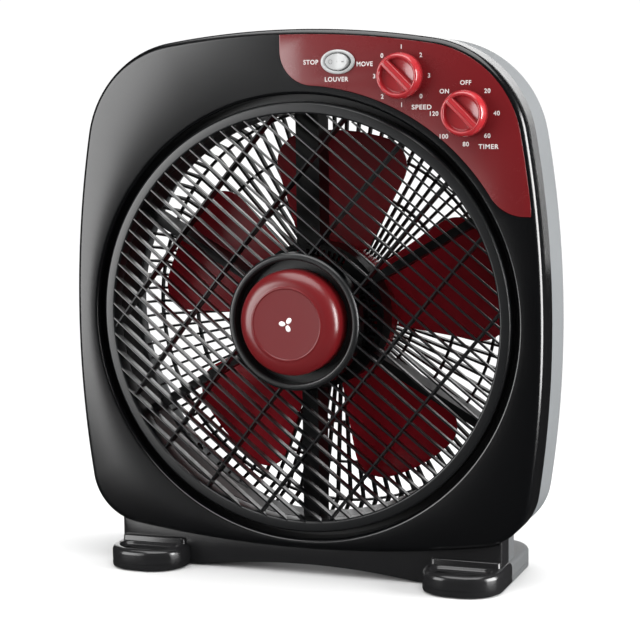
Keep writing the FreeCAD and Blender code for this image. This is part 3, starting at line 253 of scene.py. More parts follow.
def grained(name, colour, roughness, grain_scale, grain, smudge, tone, relief):
    """A material that the shared group gives its colour, gloss and relief; returns it and its shader."""
    material, nodes, links = new_material(name)
    shader = nodes["Principled BSDF"]
    finish = nodes.new("ShaderNodeGroup")
    finish.node_tree = moulded_plastic
    for socket, value in (("Colour", (*colour, 1)), ("Roughness", roughness), ("Grain Scale", grain_scale),
                          ("Grain", grain), ("Smudge", smudge), ("Tone", tone)):
        finish.inputs[socket].default_value = value
    links.new(finish.outputs["Colour"], shader.inputs["Base Color"])
    links.new(finish.outputs["Roughness"], shader.inputs["Roughness"])
    if relief:
        bump = nodes.new("ShaderNodeBump")
        bump.inputs["Distance"].default_value = relief
        bump.inputs["Strength"].default_value = 1.0
        links.new(finish.outputs["Height"], bump.inputs["Height"])
        links.new(bump.outputs["Normal"], shader.inputs["Normal"])
    return material, shader


def plastic(name, colour, roughness, grain_scale=900, grain=0.3, smudge=0.05, tone=0.06, depth=0.02,
            coat=0.0, coat_roughness=0.05, specular=0.5):
    material, shader = grained(name, colour, roughness, grain_scale, grain, smudge, tone, depth * MM)
    shader.inputs["Coat Weight"].default_value = coat
    shader.inputs["Coat Roughness"].default_value = coat_roughness
    shader.inputs["Specular IOR Level"].default_value = specular
    return material


gloss_black = plastic("gloss_black_abs", (0.002, 0.0021, 0.0024), 0.21, grain_scale=500, grain=0.15,
                      smudge=0.06, tone=0.1, depth=0.004)
wall = 2.5 * MM
edge_round = 5 * MM
collar_end = face_y + 20 * MM
lip_bevel = 2.5 * MM


def rounded_edge(inset, y, radius, steps=8):
    """Rings of a rounded outer edge, from the face to the side."""
    rings = []
    for i in range(steps + 1):
        a = math.pi / 2 * i / steps
        rings.append(on_case(outline(inset + radius * (1 - math.sin(a))), y + radius * (1 - math.cos(a))))
    return rings


def opening_ring(radius, y):
    return on_case(circle_like(outline(), radius), y)


front_rings = [opening_ring(opening, collar_end), opening_ring(opening, face_y + 9 * MM)]
for step in range(7):
    turn = math.pi / 2 * step / 6
    front_rings.append(opening_ring(opening + lip_bevel * (1 - math.cos(turn)),
                                    face_y + 4 * MM * (1 - math.sin(turn))))
front_rings += rounded_edge(0, face_y, edge_round)
front_rings += [on_case(outline(), seam_y - 0.5 * MM), on_case(outline(0.4 * MM), seam_y),
                on_case(outline(wall), seam_y), on_case(outline(wall), face_y + 3 * MM),
                opening_ring(opening + 2.6 * MM, face_y + 3 * MM),
                opening_ring(opening + 2.6 * MM, collar_end)]
front_skin = skin("front_shell_moulding", front_rings, angle=40)

panel_low, panel_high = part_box("control_panel")
panel_inset = 4.3 * MM
panel_arc = 188 * MM
panel_corner = 28 * MM
panel_sweep = 32 * MM
panel_left = panel_low[0]
panel_foot = panel_low[2] - axis_z


def arc_points(centre, radius, first, last, steps):
    return [(centre[0] + radius * math.cos(first + (last - first) * i / steps),
             centre[1] + radius * math.sin(first + (last - first) * i / steps)) for i in range(steps + 1)]


def panel_outline(grow=0.0):
    """The panel's edge: level foot, the case's edge, a straight left side and an arc round the opening."""
    edge = [p for p in outline(panel_inset - grow) if p[0] > panel_left - grow and p[1] > panel_foot - grow]
    foot, left, arc = panel_foot - grow, panel_left - grow, panel_arc - grow
    start = min(edge, key=lambda p: p[1])
    corner, sweep = panel_corner + grow, panel_sweep + grow
    left_centre = (left + corner, math.sqrt((arc + corner) ** 2 - (left + corner) ** 2))
    foot_centre = (math.sqrt((arc + sweep) ** 2 - (foot + sweep) ** 2), foot + sweep)
    left_join = math.atan2(-left_centre[1], -left_centre[0])
    foot_join = math.atan2(-foot_centre[1], -foot_centre[0])
    points = [(start[0], foot)]
    points += [p for p in edge if p[1] > foot + 0.2 * MM]
    points += [(left, points[-1][1])]
    points += arc_points(left_centre, corner, math.pi, left_join + 2 * math.pi, 16)
    a0 = math.atan2(left_centre[1], left_centre[0])
    a1 = math.atan2(foot_centre[1], foot_centre[0])
    points += arc_points((0, 0), arc, a0, a1, 60)[1:-1]
    points += arc_points(foot_centre, sweep, foot_join + 2 * math.pi, 1.5 * math.pi, 16)
    return points


def capped(name, rings, angle):
    """Joins rings of equal length into a solid whose first and last rings are its flat ends."""
    size, last = len(rings[0]), (len(rings) - 1) * len(rings[0])
    faces = [tuple(range(size)), tuple(range(last, last + size))]
    for start in range(0, last, size):
        for i in range(size):
            j = (i + 1) % size
            faces.append((start + i, start + j, start + size + j, start + size + i))
    return tidy(add_object(name, [v for ring in rings for v in ring], faces), angle)


def plate(name, points, front, back, edge=0.0, steps=3):
    """A flat plate with its edge rounded towards the front; points are (x, z) round the fan axis."""
    rings = [on_case(points, back)]
    if edge:
        inner = offset_points(points, edge)
        for i in range(steps + 1):
            a = math.pi / 2 * i / steps
            part = 1 - math.cos(a)
            mixed = [(p[0] + (q[0] - p[0]) * part, p[1] + (q[1] - p[1]) * part)
                     for p, q in zip(points, inner)]
            rings.append(on_case(mixed, front + edge * (1 - math.sin(a))))
    else:
        rings.append(on_case(points, front))
    return capped(name, rings, 40)


def offset_points(points, distance):
    """The closed outline moved inwards."""
    turning = sum(a[0] * b[1] - b[0] * a[1] for a, b in zip(points, points[1:] + points[:1]))
    side = 1 if turning > 0 else -1
    moved = []
    for before, here, after in zip(points[-1:] + points[:-1], points, points[1:] + points[:1]):
        along = Vector((after[0] - before[0], after[1] - before[1])).normalized()
        moved.append((here[0] - side * along.y * distance, here[1] + side * along.x * distance))
    return moved


carve(front_skin, [plate("panel_pocket", panel_outline(0.35 * MM), face_y - 5 * MM, face_y + 1.5 * MM)], 40)
fit(front_skin, "case", "gloss_black", gloss_black, "front_shell")

# ---- Rear shell ----
# A deep matt shell with a spark-eroded texture, rounded towards the back, that closes on the front
# shell at a stepped seam.  Its round opening has a collar and a lip, and six screws enter by wells.
textured_grey = plastic("spark_textured_grey_abs", (0.12, 0.126, 0.13), 0.52, grain_scale=1500, grain=1.0,
                        smudge=0.1, tone=0.12, depth=0.11)
back_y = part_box("rear_shell")[1][1]
rear_inset = 0.8 * MM
back_round = 34 * MM
rear_opening, collar_wall = 184 * MM, 2.6 * MM
lip_radius, lip_front, lip_back = 176 * MM, 34 * MM, 37 * MM
post_places = [(171, 112), (-171, 112), (167, -158), (-167, -158), (-102, 190), (4, 209)]
well_radius, well_bore, well_floor = 6 * MM, 3.9 * MM, -2.2 * MM
fine_edge = outline(rear_inset)
edge_tree = kdtree.KDTree(4 * len(fine_edge))
for index, (start, end) in enumerate(zip(fine_edge, fine_edge[1:] + fine_edge[:1])):
    for quarter in range(4):
        mix = quarter / 4
        point = (start[0] + (end[0] - start[0]) * mix, start[1] + (end[1] - start[1]) * mix, 0)
        edge_tree.insert(point, 4 * index + quarter)
edge_tree.balance()


def back_depth(x, z, skin_depth=0.0):
    """How far back the rounded shell reaches at a place, seen from the front."""
    inside = edge_tree.find((x, z, 0))[2] - skin_depth
    short = max(0.0, back_round - max(inside, 0.0))
    return back_y - skin_depth - back_round + math.sqrt(back_round ** 2 - short ** 2)


def rounded_back(inset, skin_depth, stop):
    """Rings that follow the rounded back from the side to a circle."""
    side = outline(inset)
    goal = circle_like(side, stop)
    goal = [g if math.hypot(*g) < math.hypot(*p) - 0.1 * MM else (p[0] * 0.999, p[1] * 0.999)
            for p, g in zip(side, goal)]
    rings = []
    steps = 22
    for i in range(1, steps + 1):
        part = (i / steps) ** 2
        ring = []
        for p, g in zip(side, goal):
            x, z = p[0] + (g[0] - p[0]) * part, p[1] + (g[1] - p[1]) * part
            ring.append(Vector((x, back_depth(x, z, skin_depth), axis_z + z)))
        rings.append(ring)
    return rings


outer_back = rounded_back(rear_inset, 0.0, rear_opening)
inner_back = rounded_back(rear_inset + wall, wall, rear_opening + collar_wall)
rear_rings = [on_case(outline(rear_inset + wall), seam_y), on_case(outline(rear_inset), seam_y)]
for step in range(1, 9):
    rear_rings.append(on_case(outline(rear_inset), seam_y + (back_y - back_round - seam_y) * step / 8))
rear_rings += outer_back
rear_rings += [opening_ring(rear_opening, lip_back), opening_ring(lip_radius, lip_back),
               opening_ring(lip_radius, lip_front), opening_ring(rear_opening + collar_wall, lip_front)]
rear_rings += inner_back[::-1]
rear_rings.append(on_case(outline(rear_inset + wall), back_y - back_round))
rear_skin = skin("rear_shell_moulding", rear_rings, angle=35)


def rod(name, x, z, radius, start, end, steps=32):
    """A round bar along the depth, for cutting holes."""
    ring = [(x + radius * math.cos(2 * math.pi * i / steps), z + radius * math.sin(2 * math.pi * i / steps))
            for i in range(steps)]
    return plate(name, ring, start, end)


gland_low, gland_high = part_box("cord_gland")
gland_x = (gland_low[0] + gland_high[0]) / 2
gland_z = (gland_low[2] + gland_high[2]) / 2 - axis_z
gland_sink, gland_seat = 8.1 * MM, 59 * MM
holes = [rod("well_hole", x * MM, z * MM, well_bore, well_floor, back_y + 5 * MM) for x, z in post_places]
holes.append(rod("gland_hole", gland_x, gland_z, gland_sink, 20 * MM, back_y + 5 * MM))
carve(rear_skin, holes, 35)


def well(x, z, outer, inner, start, floor):
    """A tube behind the shell's skin, its end following the rounded back."""
    steps = 32
    around = [(math.cos(2 * math.pi * i / steps), math.sin(2 * math.pi * i / steps)) for i in range(steps)]

    def level(radius, y):
        return [Vector((x + radius * c, y, axis_z + z + radius * s)) for c, s in around]

    def under(radius, skin_depth):
        return [Vector((x + radius * c, back_depth(x + radius * c, z + radius * s) - skin_depth,
                        axis_z + z + radius * s)) for c, s in around]

    rings = [level(0.4 * MM, floor), level(inner, floor), under(inner, 0.4 * MM), under(outer, 1.2 * MM),
             level(outer, start), level(0.4 * MM, start)]
    return skin("well", rings, closed=True, angle=35)


def merge(first, others):
    """Joins further meshes into the first object."""
    work = bmesh.new()
    for obj in [first] + others:
        work.from_mesh(obj.data)
    work.to_mesh(first.data)
    work.free()
    for obj in others:
        bpy.data.objects.remove(obj)
    return first


wells = [well(x * MM, z * MM, well_radius, well_bore, seam_y + 1 * MM, well_floor) for x, z in post_places]
wells.append(well(gland_x, gland_z, gland_sink + 2 * MM, gland_sink - 0.05 * MM, 53 * MM, gland_seat))
merge(rear_skin, wells)
fit(rear_skin, "case", "textured_grey", textured_grey, "rear_shell")

# ---- Rear grille ----
# One black moulding: ninety straight ribs tied by rings round a small disc, turned forward at the rim
# into a flat frame that is screwed behind the rear shell's lip.
black_plastic = plastic("satin_black_polypropylene", (0.009, 0.009, 0.0095), 0.36, grain_scale=1100,
                        grain=0.5, smudge=0.08, tone=0.15, depth=0.02)
grille_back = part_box("rear_grille")[1][1]
frame_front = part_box("grille_frame")[0][1]
rib_count, rib_depth, rib_half = 90, 6.5 * MM, 1.0 * MM
grille_edge, frame_outer, frame_inner = 171 * MM, 183.4 * MM, 178.6 * MM
frame_rear = 44 * MM
disc_radius = 45 * MM


def lathe(name, profile, x=0.0, z=0.0, steps=160, closed=True, angle=30):
    """Turns a profile of (radius, depth) round an axis along the depth; closed profiles make solids."""
    rings = []
    for radius, y in profile:
        rings.append([Vector((x + max(radius, 1e-5) * math.cos(2 * math.pi * i / steps), y,
                              axis_z + z + max(radius, 1e-5) * math.sin(2 * math.pi * i / steps)))
                      for i in range(steps)])
    return skin(name, rings, closed, angle)


def soft(points, size, steps=3):
    """Rounds the corners of a closed profile."""
    rounded = []
    for before, here, after in zip(points[-1:] + points[:-1], points, points[1:] + points[:1]):
        a, b, c = Vector(before), Vector(here), Vector(after)
        reach = min(size, (a - b).length * 0.45, (c - b).length * 0.45)
        first, last = b + (a - b).normalized() * reach, b + (c - b).normalized() * reach
        for i in range(steps + 1):
            t = i / steps
            rounded.append(tuple(first * (1 - t) ** 2 + b * 2 * t * (1 - t) + last * t ** 2))
    return rounded


def new_tree(name, *inputs):
    """A geometry tree with named inputs; returns the tree and its input and output nodes."""
    tree = bpy.data.node_groups.new(name, "GeometryNodeTree")
    tree.interface.new_socket("Geometry", in_out="INPUT", socket_type="NodeSocketGeometry")
    for label, kind in inputs:
        tree.interface.new_socket(label, in_out="INPUT", socket_type=kind)
    tree.interface.new_socket("Geometry", in_out="OUTPUT", socket_type="NodeSocketGeometry")
    return tree, tree.nodes.new("NodeGroupInput"), tree.nodes.new("NodeGroupOutput")


def copy_to(tree, points, shape, turning):
    """Copies a shape to points, turned about the depth, as real geometry."""
    nodes, links = tree.nodes, tree.links
    turn = nodes.new("ShaderNodeCombineXYZ")
    links.new(turning, turn.inputs["Y"])
    copies = nodes.new("GeometryNodeInstanceOnPoints")
    for label, source in (("Points", points), ("Instance", shape), ("Rotation", turn.outputs[0])):
        links.new(source, copies.inputs[label])
    solid = nodes.new("GeometryNodeRealizeInstances")
    links.new(copies.outputs["Instances"], solid.inputs["Geometry"])
    return solid.outputs["Geometry"]


def end_tree(tree, shape, given, result):
    """Gives the shape its material and ends the tree."""
    finish = tree.nodes.new("GeometryNodeSetMaterial")
    tree.links.new(shape, finish.inputs["Geometry"])
    tree.links.new(given.outputs["Finish"], finish.inputs["Material"])
    tree.links.new(finish.outputs["Geometry"], result.inputs["Geometry"])
    return tree


def grow(obj, tree, **values):
    """Runs a geometry tree on the object with the given inputs and keeps the plain mesh."""
    modifier = obj.modifiers.new(tree.name, "NODES")
    modifier.node_group = tree
    for item in tree.interface.items_tree:
        label = item.name.lower().replace(" ", "_")
        if item.in_out == "INPUT" and label in values:
            modifier[item.identifier] = values[label]
    bpy.context.view_layer.update()
    return apply_modifiers(obj)


def ring_tree():
    """Copies the given shape round the fan axis."""
    tree, given, result = new_tree("copies_round_the_axis", ("Count", "NodeSocketInt"),
                                   ("Axis Height", "NodeSocketFloat"), ("Start Angle", "NodeSocketFloat"),
                                   ("Finish", "NodeSocketMaterial"))
    nodes, links = tree.nodes, tree.links
    spots = nodes.new("GeometryNodeMeshLine")
    spots.inputs["Offset"].default_value = (0, 0, 0)
    links.new(given.outputs["Count"], spots.inputs["Count"])
    middle = nodes.new("ShaderNodeCombineXYZ")
    links.new(given.outputs["Axis Height"], middle.inputs["Z"])
    links.new(middle.outputs[0], spots.inputs["Start Location"])
    place_index = nodes.new("GeometryNodeInputIndex")
    share = node_value(tree, "DIVIDE", place_index.outputs[0], given.outputs["Count"])
    turn = node_value(tree, "MULTIPLY_ADD", share, 2 * math.pi, given.outputs["Start Angle"])
    turning = node_value(tree, "MULTIPLY", turn, -1.0)
    solid = copy_to(tree, spots.outputs["Mesh"], given.outputs["Geometry"], turning)
    return end_tree(tree, solid, given, result)


round_copies = ring_tree()


def bar(name, profile, half, bevel=0.0):
    """A flat bar cut to an (along, depth) profile, lying across the axis and centred on it."""
    if bevel:
        inner = offset_points(profile, bevel)
        levels = [(inner, -half), (profile, bevel - half), (profile, half - bevel), (inner, half)]
    else:
        levels = [(profile, -half), (profile, half)]
    return capped(name, [[Vector((x, y, z)) for x, y in points] for points, z in levels], 30)


rib_profile = [(disc_radius - 1 * MM, grille_back), (grille_edge - 3 * MM, grille_back),
               (grille_edge, grille_back - 1 * MM), (frame_outer - 1 * MM, frame_rear - 2 * MM),
               (frame_outer - 4 * MM, frame_rear - 2 * MM), (grille_edge - 4 * MM, grille_back - rib_depth),
               (disc_radius - 1 * MM, grille_back - rib_depth)]
ribs = bar("rear_grille_moulding", rib_profile, rib_half, 0.35 * MM)
grow(ribs, round_copies, count=rib_count, axis_height=axis_z, start_angle=0.0, finish=black_plastic)
rings = []
grille_face = grille_back - rib_depth
for radius in (66 * MM, 101 * MM, 136 * MM, grille_edge - 1.5 * MM):
    inner, outer = radius - rib_half, radius + rib_half
    near, far = grille_face + 1 * MM, grille_back - 0.8 * MM
    section = soft([(inner, near), (outer, near), (outer, far), (inner, far)], 0.4 * MM, 2)
    rings.append(lathe("grille_ring", section, steps=180))
disc_profile = [(0, grille_face), (disc_radius - 1 * MM, grille_face), (disc_radius, grille_face + 1 * MM),
                (disc_radius, grille_back - 1 * MM), (disc_radius - 1 * MM, grille_back),
                (disc_radius - 4 * MM, grille_back), (disc_radius - 5 * MM, grille_back - 1 * MM),
                (0, grille_back - 1 * MM)]
rings.append(lathe("grille_disc", disc_profile, closed=False, steps=120))
rings.append(lathe("grille_frame", soft([(frame_inner, frame_front), (frame_outer, frame_front),
                                         (frame_outer, frame_rear), (frame_inner, frame_rear)], 0.6 * MM, 2),
                   steps=180))
merge(ribs, rings)
ribs.data.set_sharp_from_angle(angle=math.radians(30))
fit(ribs, "case", "black_plastic", black_plastic, "rear_grille", "grille_frame")

# ---- Control panel ----
# A thin red-lacquered plate let into the front, following the case's edge and the round opening.
# The words and the numbers round the dials are pad-printed on it in pale grey ink.
panel_front, panel_back = panel_low[1], panel_high[1]
red_panel = plastic("red_lacquered_panel", (0.105, 0.0034, 0.0052), 0.27, grain_scale=2600, grain=0.12,
                    smudge=0.05, tone=0.05, depth=0.003, coat=0.08, coat_roughness=0.15)
panel = plate("control_panel_plate", panel_outline(), panel_front, panel_back, 0.35 * MM)


def dial_place(node):
    low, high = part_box(node)
    return (low[0] + high[0]) / 2, (low[2] + high[2]) / 2 - axis_z


speed_place, timer_place = dial_place("speed_knob"), dial_place("timer_knob")
rocker_place = dial_place("rocker_bezel")
dial_bore, rocker_bore, rocker_stretch = 5.2 * MM, 6 * MM, (1.95, 1.28)
panel_holes = [rod("dial_hole", *spot, dial_bore, panel_front - 2 * MM, panel_back + 2 * MM)
               for spot in (speed_place, timer_place)]
panel_holes.append(rod("rocker_hole", *rocker_place, rocker_bore, panel_front - 2 * MM, panel_back + 2 * MM))
for vertex in panel_holes[-1].data.vertices:
    vertex.co.x = rocker_place[0] + (vertex.co.x - rocker_place[0]) * rocker_stretch[0]
    vertex.co.z = axis_z + rocker_place[1] + (vertex.co.z - axis_z - rocker_place[1]) * rocker_stretch[1]
carve(panel, panel_holes, 30)
fit(panel, "case", "red_panel", red_panel, "control_panel")

pale_ink = plastic("pale_grey_pad_printing", (0.52, 0.5, 0.49), 0.45, grain_scale=1800, grain=0.6, smudge=0.1,
                   tone=0.3, depth=0.01)
letter_height, number_height = 3.5 * MM, 3.3 * MM
capital_share = 0.69
ink = 0.03 * MM


def print_mark(word, x, z, size=letter_height):
    """A word in plain type, made a mesh and laid on the panel."""
    curve = bpy.data.curves.new("printed_" + word.lower(), "FONT")
    curve.body = word
    curve.size = size / capital_share
    curve.space_character = 1.12
    curve.align_x, curve.align_y = "CENTER", "CENTER"
    curve.offset = 0.09 * MM
    curve.extrude = ink / 2
    text = bpy.data.objects.new("printed_" + word.lower(), curve)
    bpy.context.collection.objects.link(text)
    bpy.context.view_layer.update()
    mesh = bpy.data.meshes.new_from_object(text.evaluated_get(bpy.context.evaluated_depsgraph_get()))
    bpy.data.objects.remove(text)
    mark = bpy.data.objects.new("mark", mesh)
    bpy.context.collection.objects.link(mark)
    xs = [v.co.x for v in mesh.vertices]
    ys = [v.co.y for v in mesh.vertices]
    shift = Vector((-(min(xs) + max(xs)) / 2, -(min(ys) + max(ys)) / 2, 0))
    mesh.transform(Matrix.Translation(shift))
    mesh.transform(Matrix.Rotation(math.pi / 2, 4, "X"))
    mesh.transform(Matrix.Translation((x, panel_front - ink / 2, axis_z + z)))
    return mark


words = [("STOP", 12.5, 206, 12.5), ("MOVE", 57.5, 204, 13.3), ("LOUVER", 34, 192.4, 19.6),
         ("SPEED", 103.9, 170.1, 16), ("TIMER", 157.5, 139.5, 16)]
marks = [print_mark(word, x * MM, z * MM) for word, x, z, width in words]
for mark, (word, x, z, width) in zip(marks, words):
    now = mark.dimensions.x
    for vertex in mark.data.vertices:
        vertex.co.x = x * MM + (vertex.co.x - x * MM) * width * MM / now
speed_marks, timer_marks = "0 1 2 3 0 1 2 3", "ON OFF 20 40 60 80 100 120"
for spot, labels, reach in ((speed_place, speed_marks, 22.4), (timer_place, timer_marks, 23.6)):
    for index, label in enumerate(labels.split()):
        turn = math.radians(135 - 45 * index)
        out = reach + 0.9 * (len(label) - 1) * abs(math.cos(turn))
        across, up = spot[0] + out * MM * math.cos(turn), spot[1] + out * MM * math.sin(turn)
        marks.append(print_mark(label, across, up, number_height))
printing = merge(marks[0], marks[1:])
printing.name = "panel_printing"
fit(printing, "case", "white_plastic", pale_ink)

# ---- Louver rocker switch ----
# A pale oval bezel snapped into the panel holds an oval rocker, dished across its middle, that tilts
# on a pin.  A ring and a dash are printed on its two ends.
bezel_low, bezel_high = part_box("rocker_bezel")
switch_white = plastic("pale_grey_switch_plastic", (0.33, 0.335, 0.335), 0.3, grain_scale=1500, grain=0.3,
                       smudge=0.08, tone=0.05, depth=0.006)


def ovals(name, levels, x, z, steps=96, closed=True, tip=None, angle=35):
    """Joins ovals (half width, half height, depth) into a surface."""
    rings = []
    for width, height, y in levels:
        ring = []
        for i in range(steps):
            a = 2 * math.pi * i / steps
            px, pz = width * math.cos(a), height * math.sin(a)
            ring.append(Vector((x + px, tip(px, y) if tip else y, axis_z + z + pz)))
        rings.append(ring)
    return skin(name, rings, closed, angle)


bezel_w, bezel_h = (bezel_high[0] - bezel_low[0]) / 2, (bezel_high[2] - bezel_low[2]) / 2
mouth_w, mouth_h = 10.8 * MM, 7.1 * MM
top = bezel_low[1]
bezel_levels = [(bezel_w, bezel_h, face_y - 0.05 * MM), (bezel_w, bezel_h, top + 1.1 * MM),
                (bezel_w - 0.25 * MM, bezel_h - 0.25 * MM, top + 0.5 * MM),
                (bezel_w - 0.9 * MM, bezel_h - 0.9 * MM, top + 0.05 * MM),
                (mouth_w + 1.6 * MM, mouth_h + 1.0 * MM, top),
                (mouth_w + 0.8 * MM, mouth_h + 0.5 * MM, top + 0.5 * MM), (mouth_w, mouth_h, top + 1.3 * MM),
                (mouth_w, mouth_h, bezel_high[1]), (mouth_w + 0.5 * MM, mouth_h + 0.5 * MM, bezel_high[1]),
                (mouth_w + 0.5 * MM, mouth_h + 0.5 * MM, face_y - 0.05 * MM)]
bezel = ovals("rocker_bezel_moulding", bezel_levels, *rocker_place)
fit(bezel, "case", "white_plastic", switch_white, "rocker_bezel")

pivot_y = face_y + 1.6 * MM
tilt = Matrix.Translation((rocker_place[0], pivot_y, 0)) @ Matrix.Rotation(math.radians(-8), 4, "Z") \
    @ Matrix.Translation((-rocker_place[0], -pivot_y, 0))
valley_radius, valley_floor = 26 * MM, face_y - 1.6 * MM
button_w, button_h, button_back = 9.7 * MM, 6.7 * MM, face_y + 4 * MM


def dished(px, y):
    """The rocker's top follows a wide valley across its middle."""
    if y > face_y:
        return y
    return valley_floor - (valley_radius - math.sqrt(valley_radius ** 2 - px ** 2)) + (y - valley_floor)


button_levels = [(0.3 * MM, 0.3 * MM, button_back), (button_w - 0.4 * MM, button_h - 0.4 * MM, button_back),
                 (button_w, button_h, button_back - 0.4 * MM), (button_w, button_h, face_y + 0.2 * MM),
                 (button_w - 0.02 * MM, button_h - 0.02 * MM, valley_floor + 0.9 * MM),
                 (button_w - 0.15 * MM, button_h - 0.15 * MM, valley_floor + 0.4 * MM),
                 (button_w - 0.5 * MM, button_h - 0.5 * MM, valley_floor + 0.1 * MM)]
for share in (0.9, 0.75, 0.6, 0.45, 0.3, 0.15, 0.03):
    button_levels.append((button_w * share, button_h * share, valley_floor))
button = ovals("rocker_button_moulding", button_levels, *rocker_place, tip=dished)
button.data.transform(tilt)
fit(button, "rocker", "white_plastic", switch_white, "rocker_button")

dark_ink = plastic("grey_pad_printing", (0.09, 0.09, 0.09), 0.5, grain_scale=1500, grain=0.5,
                   tone=0.3, depth=0.01)
mark_places = []
ring_steps, ring_centre, ring_radii = 40, -5.4 * MM, (1.25 * MM, 1.6 * MM)
for k in range(ring_steps):
    a = 2 * math.pi * k / ring_steps
    mark_places.append([(ring_centre + r * math.cos(a), r * 1.15 * math.sin(a)) for r in ring_radii])
ring_verts, ring_faces = [], []
for inner, outer in mark_places:
    for px, pz in (inner, outer):
        ring_verts.append((rocker_place[0] + px, dished(px, valley_floor) - 0.04 * MM,
                           axis_z + rocker_place[1] + pz))
for k in range(ring_steps):
    a, b = 2 * k, 2 * ((k + 1) % ring_steps)
    ring_faces.append((a, a + 1, b + 1, b))
dash = []
for px, pz in ((4.2, -0.25), (6.8, -0.25), (6.8, 0.25), (4.2, 0.25)):
    dash.append((rocker_place[0] + px * MM, dished(px * MM, valley_floor) - 0.05 * MM,
                 axis_z + rocker_place[1] + pz * MM))
size = len(ring_verts)
rocker_marks = add_object("rocker_printing", ring_verts + dash, ring_faces + [tuple(range(size, size + 4))])
rocker_marks.data.transform(tilt)
rocker_marks = tidy(rocker_marks)
thin = rocker_marks.modifiers.new("ink", "SOLIDIFY")
thin.thickness = 0.04 * MM
apply_modifiers(rocker_marks)
fit(rocker_marks, "rocker", "black_plastic", dark_ink)

# ---- Dials ----
# Two moulded red knobs, pushed on to their spindles: a tapered skirt with a rounded rim, a dished
# face, and a full-width finger bar with a fine ridge along it that points to the setting.
knob_low, knob_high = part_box("speed_knob")
red_knob = plastic("glossy_red_abs", (0.27, 0.014, 0.018), 0.26, grain_scale=1300, grain=0.15, smudge=0.07,
                   tone=0.08, depth=0.004, coat=0.6, coat_roughness=0.16)
knob_radius = (knob_high[0] - knob_low[0]) / 2
knob_seat, knob_top = knob_high[1], knob_low[1]
rim_top = knob_top + 0.6 * MM
dish_radius, dish_floor = 13.4 * MM, knob_top + 6.0 * MM
bar_half, bar_reach = 4.2 * MM, 16.9 * MM


def knob(name, x, z):
    profile = [(0, dish_floor), (dish_radius - 1.2 * MM, dish_floor),
               (dish_radius - 0.4 * MM, dish_floor - 0.4 * MM),
               (dish_radius, dish_floor - 1.2 * MM), (dish_radius + 0.5 * MM, rim_top + 1.2 * MM),
               (dish_radius + 0.9 * MM, rim_top + 0.3 * MM), (dish_radius + 1.4 * MM, rim_top),
               (knob_radius - 2.6 * MM, rim_top), (knob_radius - 1.9 * MM, rim_top + 0.35 * MM),
               (knob_radius - 1.4 * MM, rim_top + 1.1 * MM), (knob_radius - 0.5 * MM, rim_top + 4.6 * MM),
               (knob_radius, rim_top + 6 * MM), (knob_radius, knob_seat - 0.4 * MM),
               (knob_radius - 0.4 * MM, knob_seat), (knob_radius - 2 * MM, knob_seat),
               (knob_radius - 2 * MM, knob_seat - 4 * MM), (5.4 * MM, knob_seat - 4 * MM),
               (5.4 * MM, knob_seat - 3 * MM), (3.05 * MM, knob_seat - 3 * MM),
               (3.05 * MM, dish_floor + 2 * MM), (0, dish_floor + 2 * MM)]
    body = lathe(name, profile, x, z, steps=112, closed=False, angle=50)
    across = [(-1.0, 1.0), (-0.93, 0.25), (-0.8, 0.06), (-0.62, 0.0), (-0.2, 0.0), (-0.1, -0.06), (0.0, -0.1),
              (0.1, -0.06), (0.2, 0.0), (0.62, 0.0), (0.8, 0.06), (0.93, 0.25), (1.0, 1.0)]
    height = dish_floor + 1 * MM - rim_top
    verts, faces = [], []
    stations = 41
    for i in range(stations):
        u = -math.cos(math.pi * i / (stations - 1))
        along = u * bar_reach
        end = max(0.0, (abs(u) - 0.86) / 0.14)
        fall = end ** 2 * 2.2 * MM
        for side, deep in across:
            rim_half = math.sqrt(max(bar_reach ** 2 - along ** 2, 0)) + 0.6 * MM
            half = min(bar_half * (0.86 + 0.14 * deep), rim_half)
            sunk, ridge = max(deep, 0), min(deep, 0) * 4 * MM
            y = rim_top + sunk * height + ridge + fall * (1 - sunk)
            verts.append(Vector((along, y, side * half)))
    width = len(across)
    for i in range(stations - 1):
        for j in range(width - 1):
            a = i * width + j
            faces.append((a, a + 1, a + width + 1, a + width))
        faces.append((i * width + width - 1, i * width, (i + 1) * width, (i + 1) * width + width - 1))
    faces += [tuple(range(width)), tuple(range((stations - 1) * width, stations * width))]
    grip = tidy(add_object(name + "_grip", verts, faces), 45)
    turn = Matrix.Rotation(math.radians(45), 4, "Y")
    grip.data.transform(Matrix.Translation((x, 0, axis_z + z)) @ turn)
    return merge(body, [grip])


for dial, spot in (("speed", speed_place), ("timer", timer_place)):
    piece = knob(dial + "_knob_moulding", *spot)
    fit(piece, dial + "_dial", "red_knob", red_knob, dial + "_knob")

# ---- Rotating louver ----
# One dark grey moulding that turns slowly in the opening: thirty-five slanting slats and six ties
# cut to a shallow dome between a broad rim and a hub ring.  It sends the air round in a circle.
louver_grey = plastic("satin_charcoal_abs", (0.006, 0.0063, 0.0068), 0.32, grain_scale=900, grain=0.3,
                      smudge=0.06, tone=0.1, depth=0.008)
rim_outer, rim_inner = 175.2 * MM, 165.7 * MM
hub_outer, hub_inner = 55.6 * MM, 50 * MM
rim_front, rim_rear = louver_high[1] - 14.2 * MM, louver_high[1]
hub_front, hub_rear = louver_low[1], louver_low[1] + 14.9 * MM
hub_floor = face_y - 4 * MM
slat_turn = math.radians(39.3)
slat_lean, slat_level = -math.tan(math.radians(13)), -47 * MM


def bowl(first, middle, last):
    """The three numbers of a parabola in the radius through three (radius, depth) places."""
    (r0, y0), (r1, y1), (r2, y2) = first, middle, last
    slope0, slope1 = (y1 - y0) / (r1 - r0), (y2 - y1) / (r2 - r1)
    bend = (slope1 - slope0) / (r2 - r0)
    slope = slope0 - bend * (r0 + r1)
    return y0 - slope * r0 - bend * r0 ** 2, slope, bend


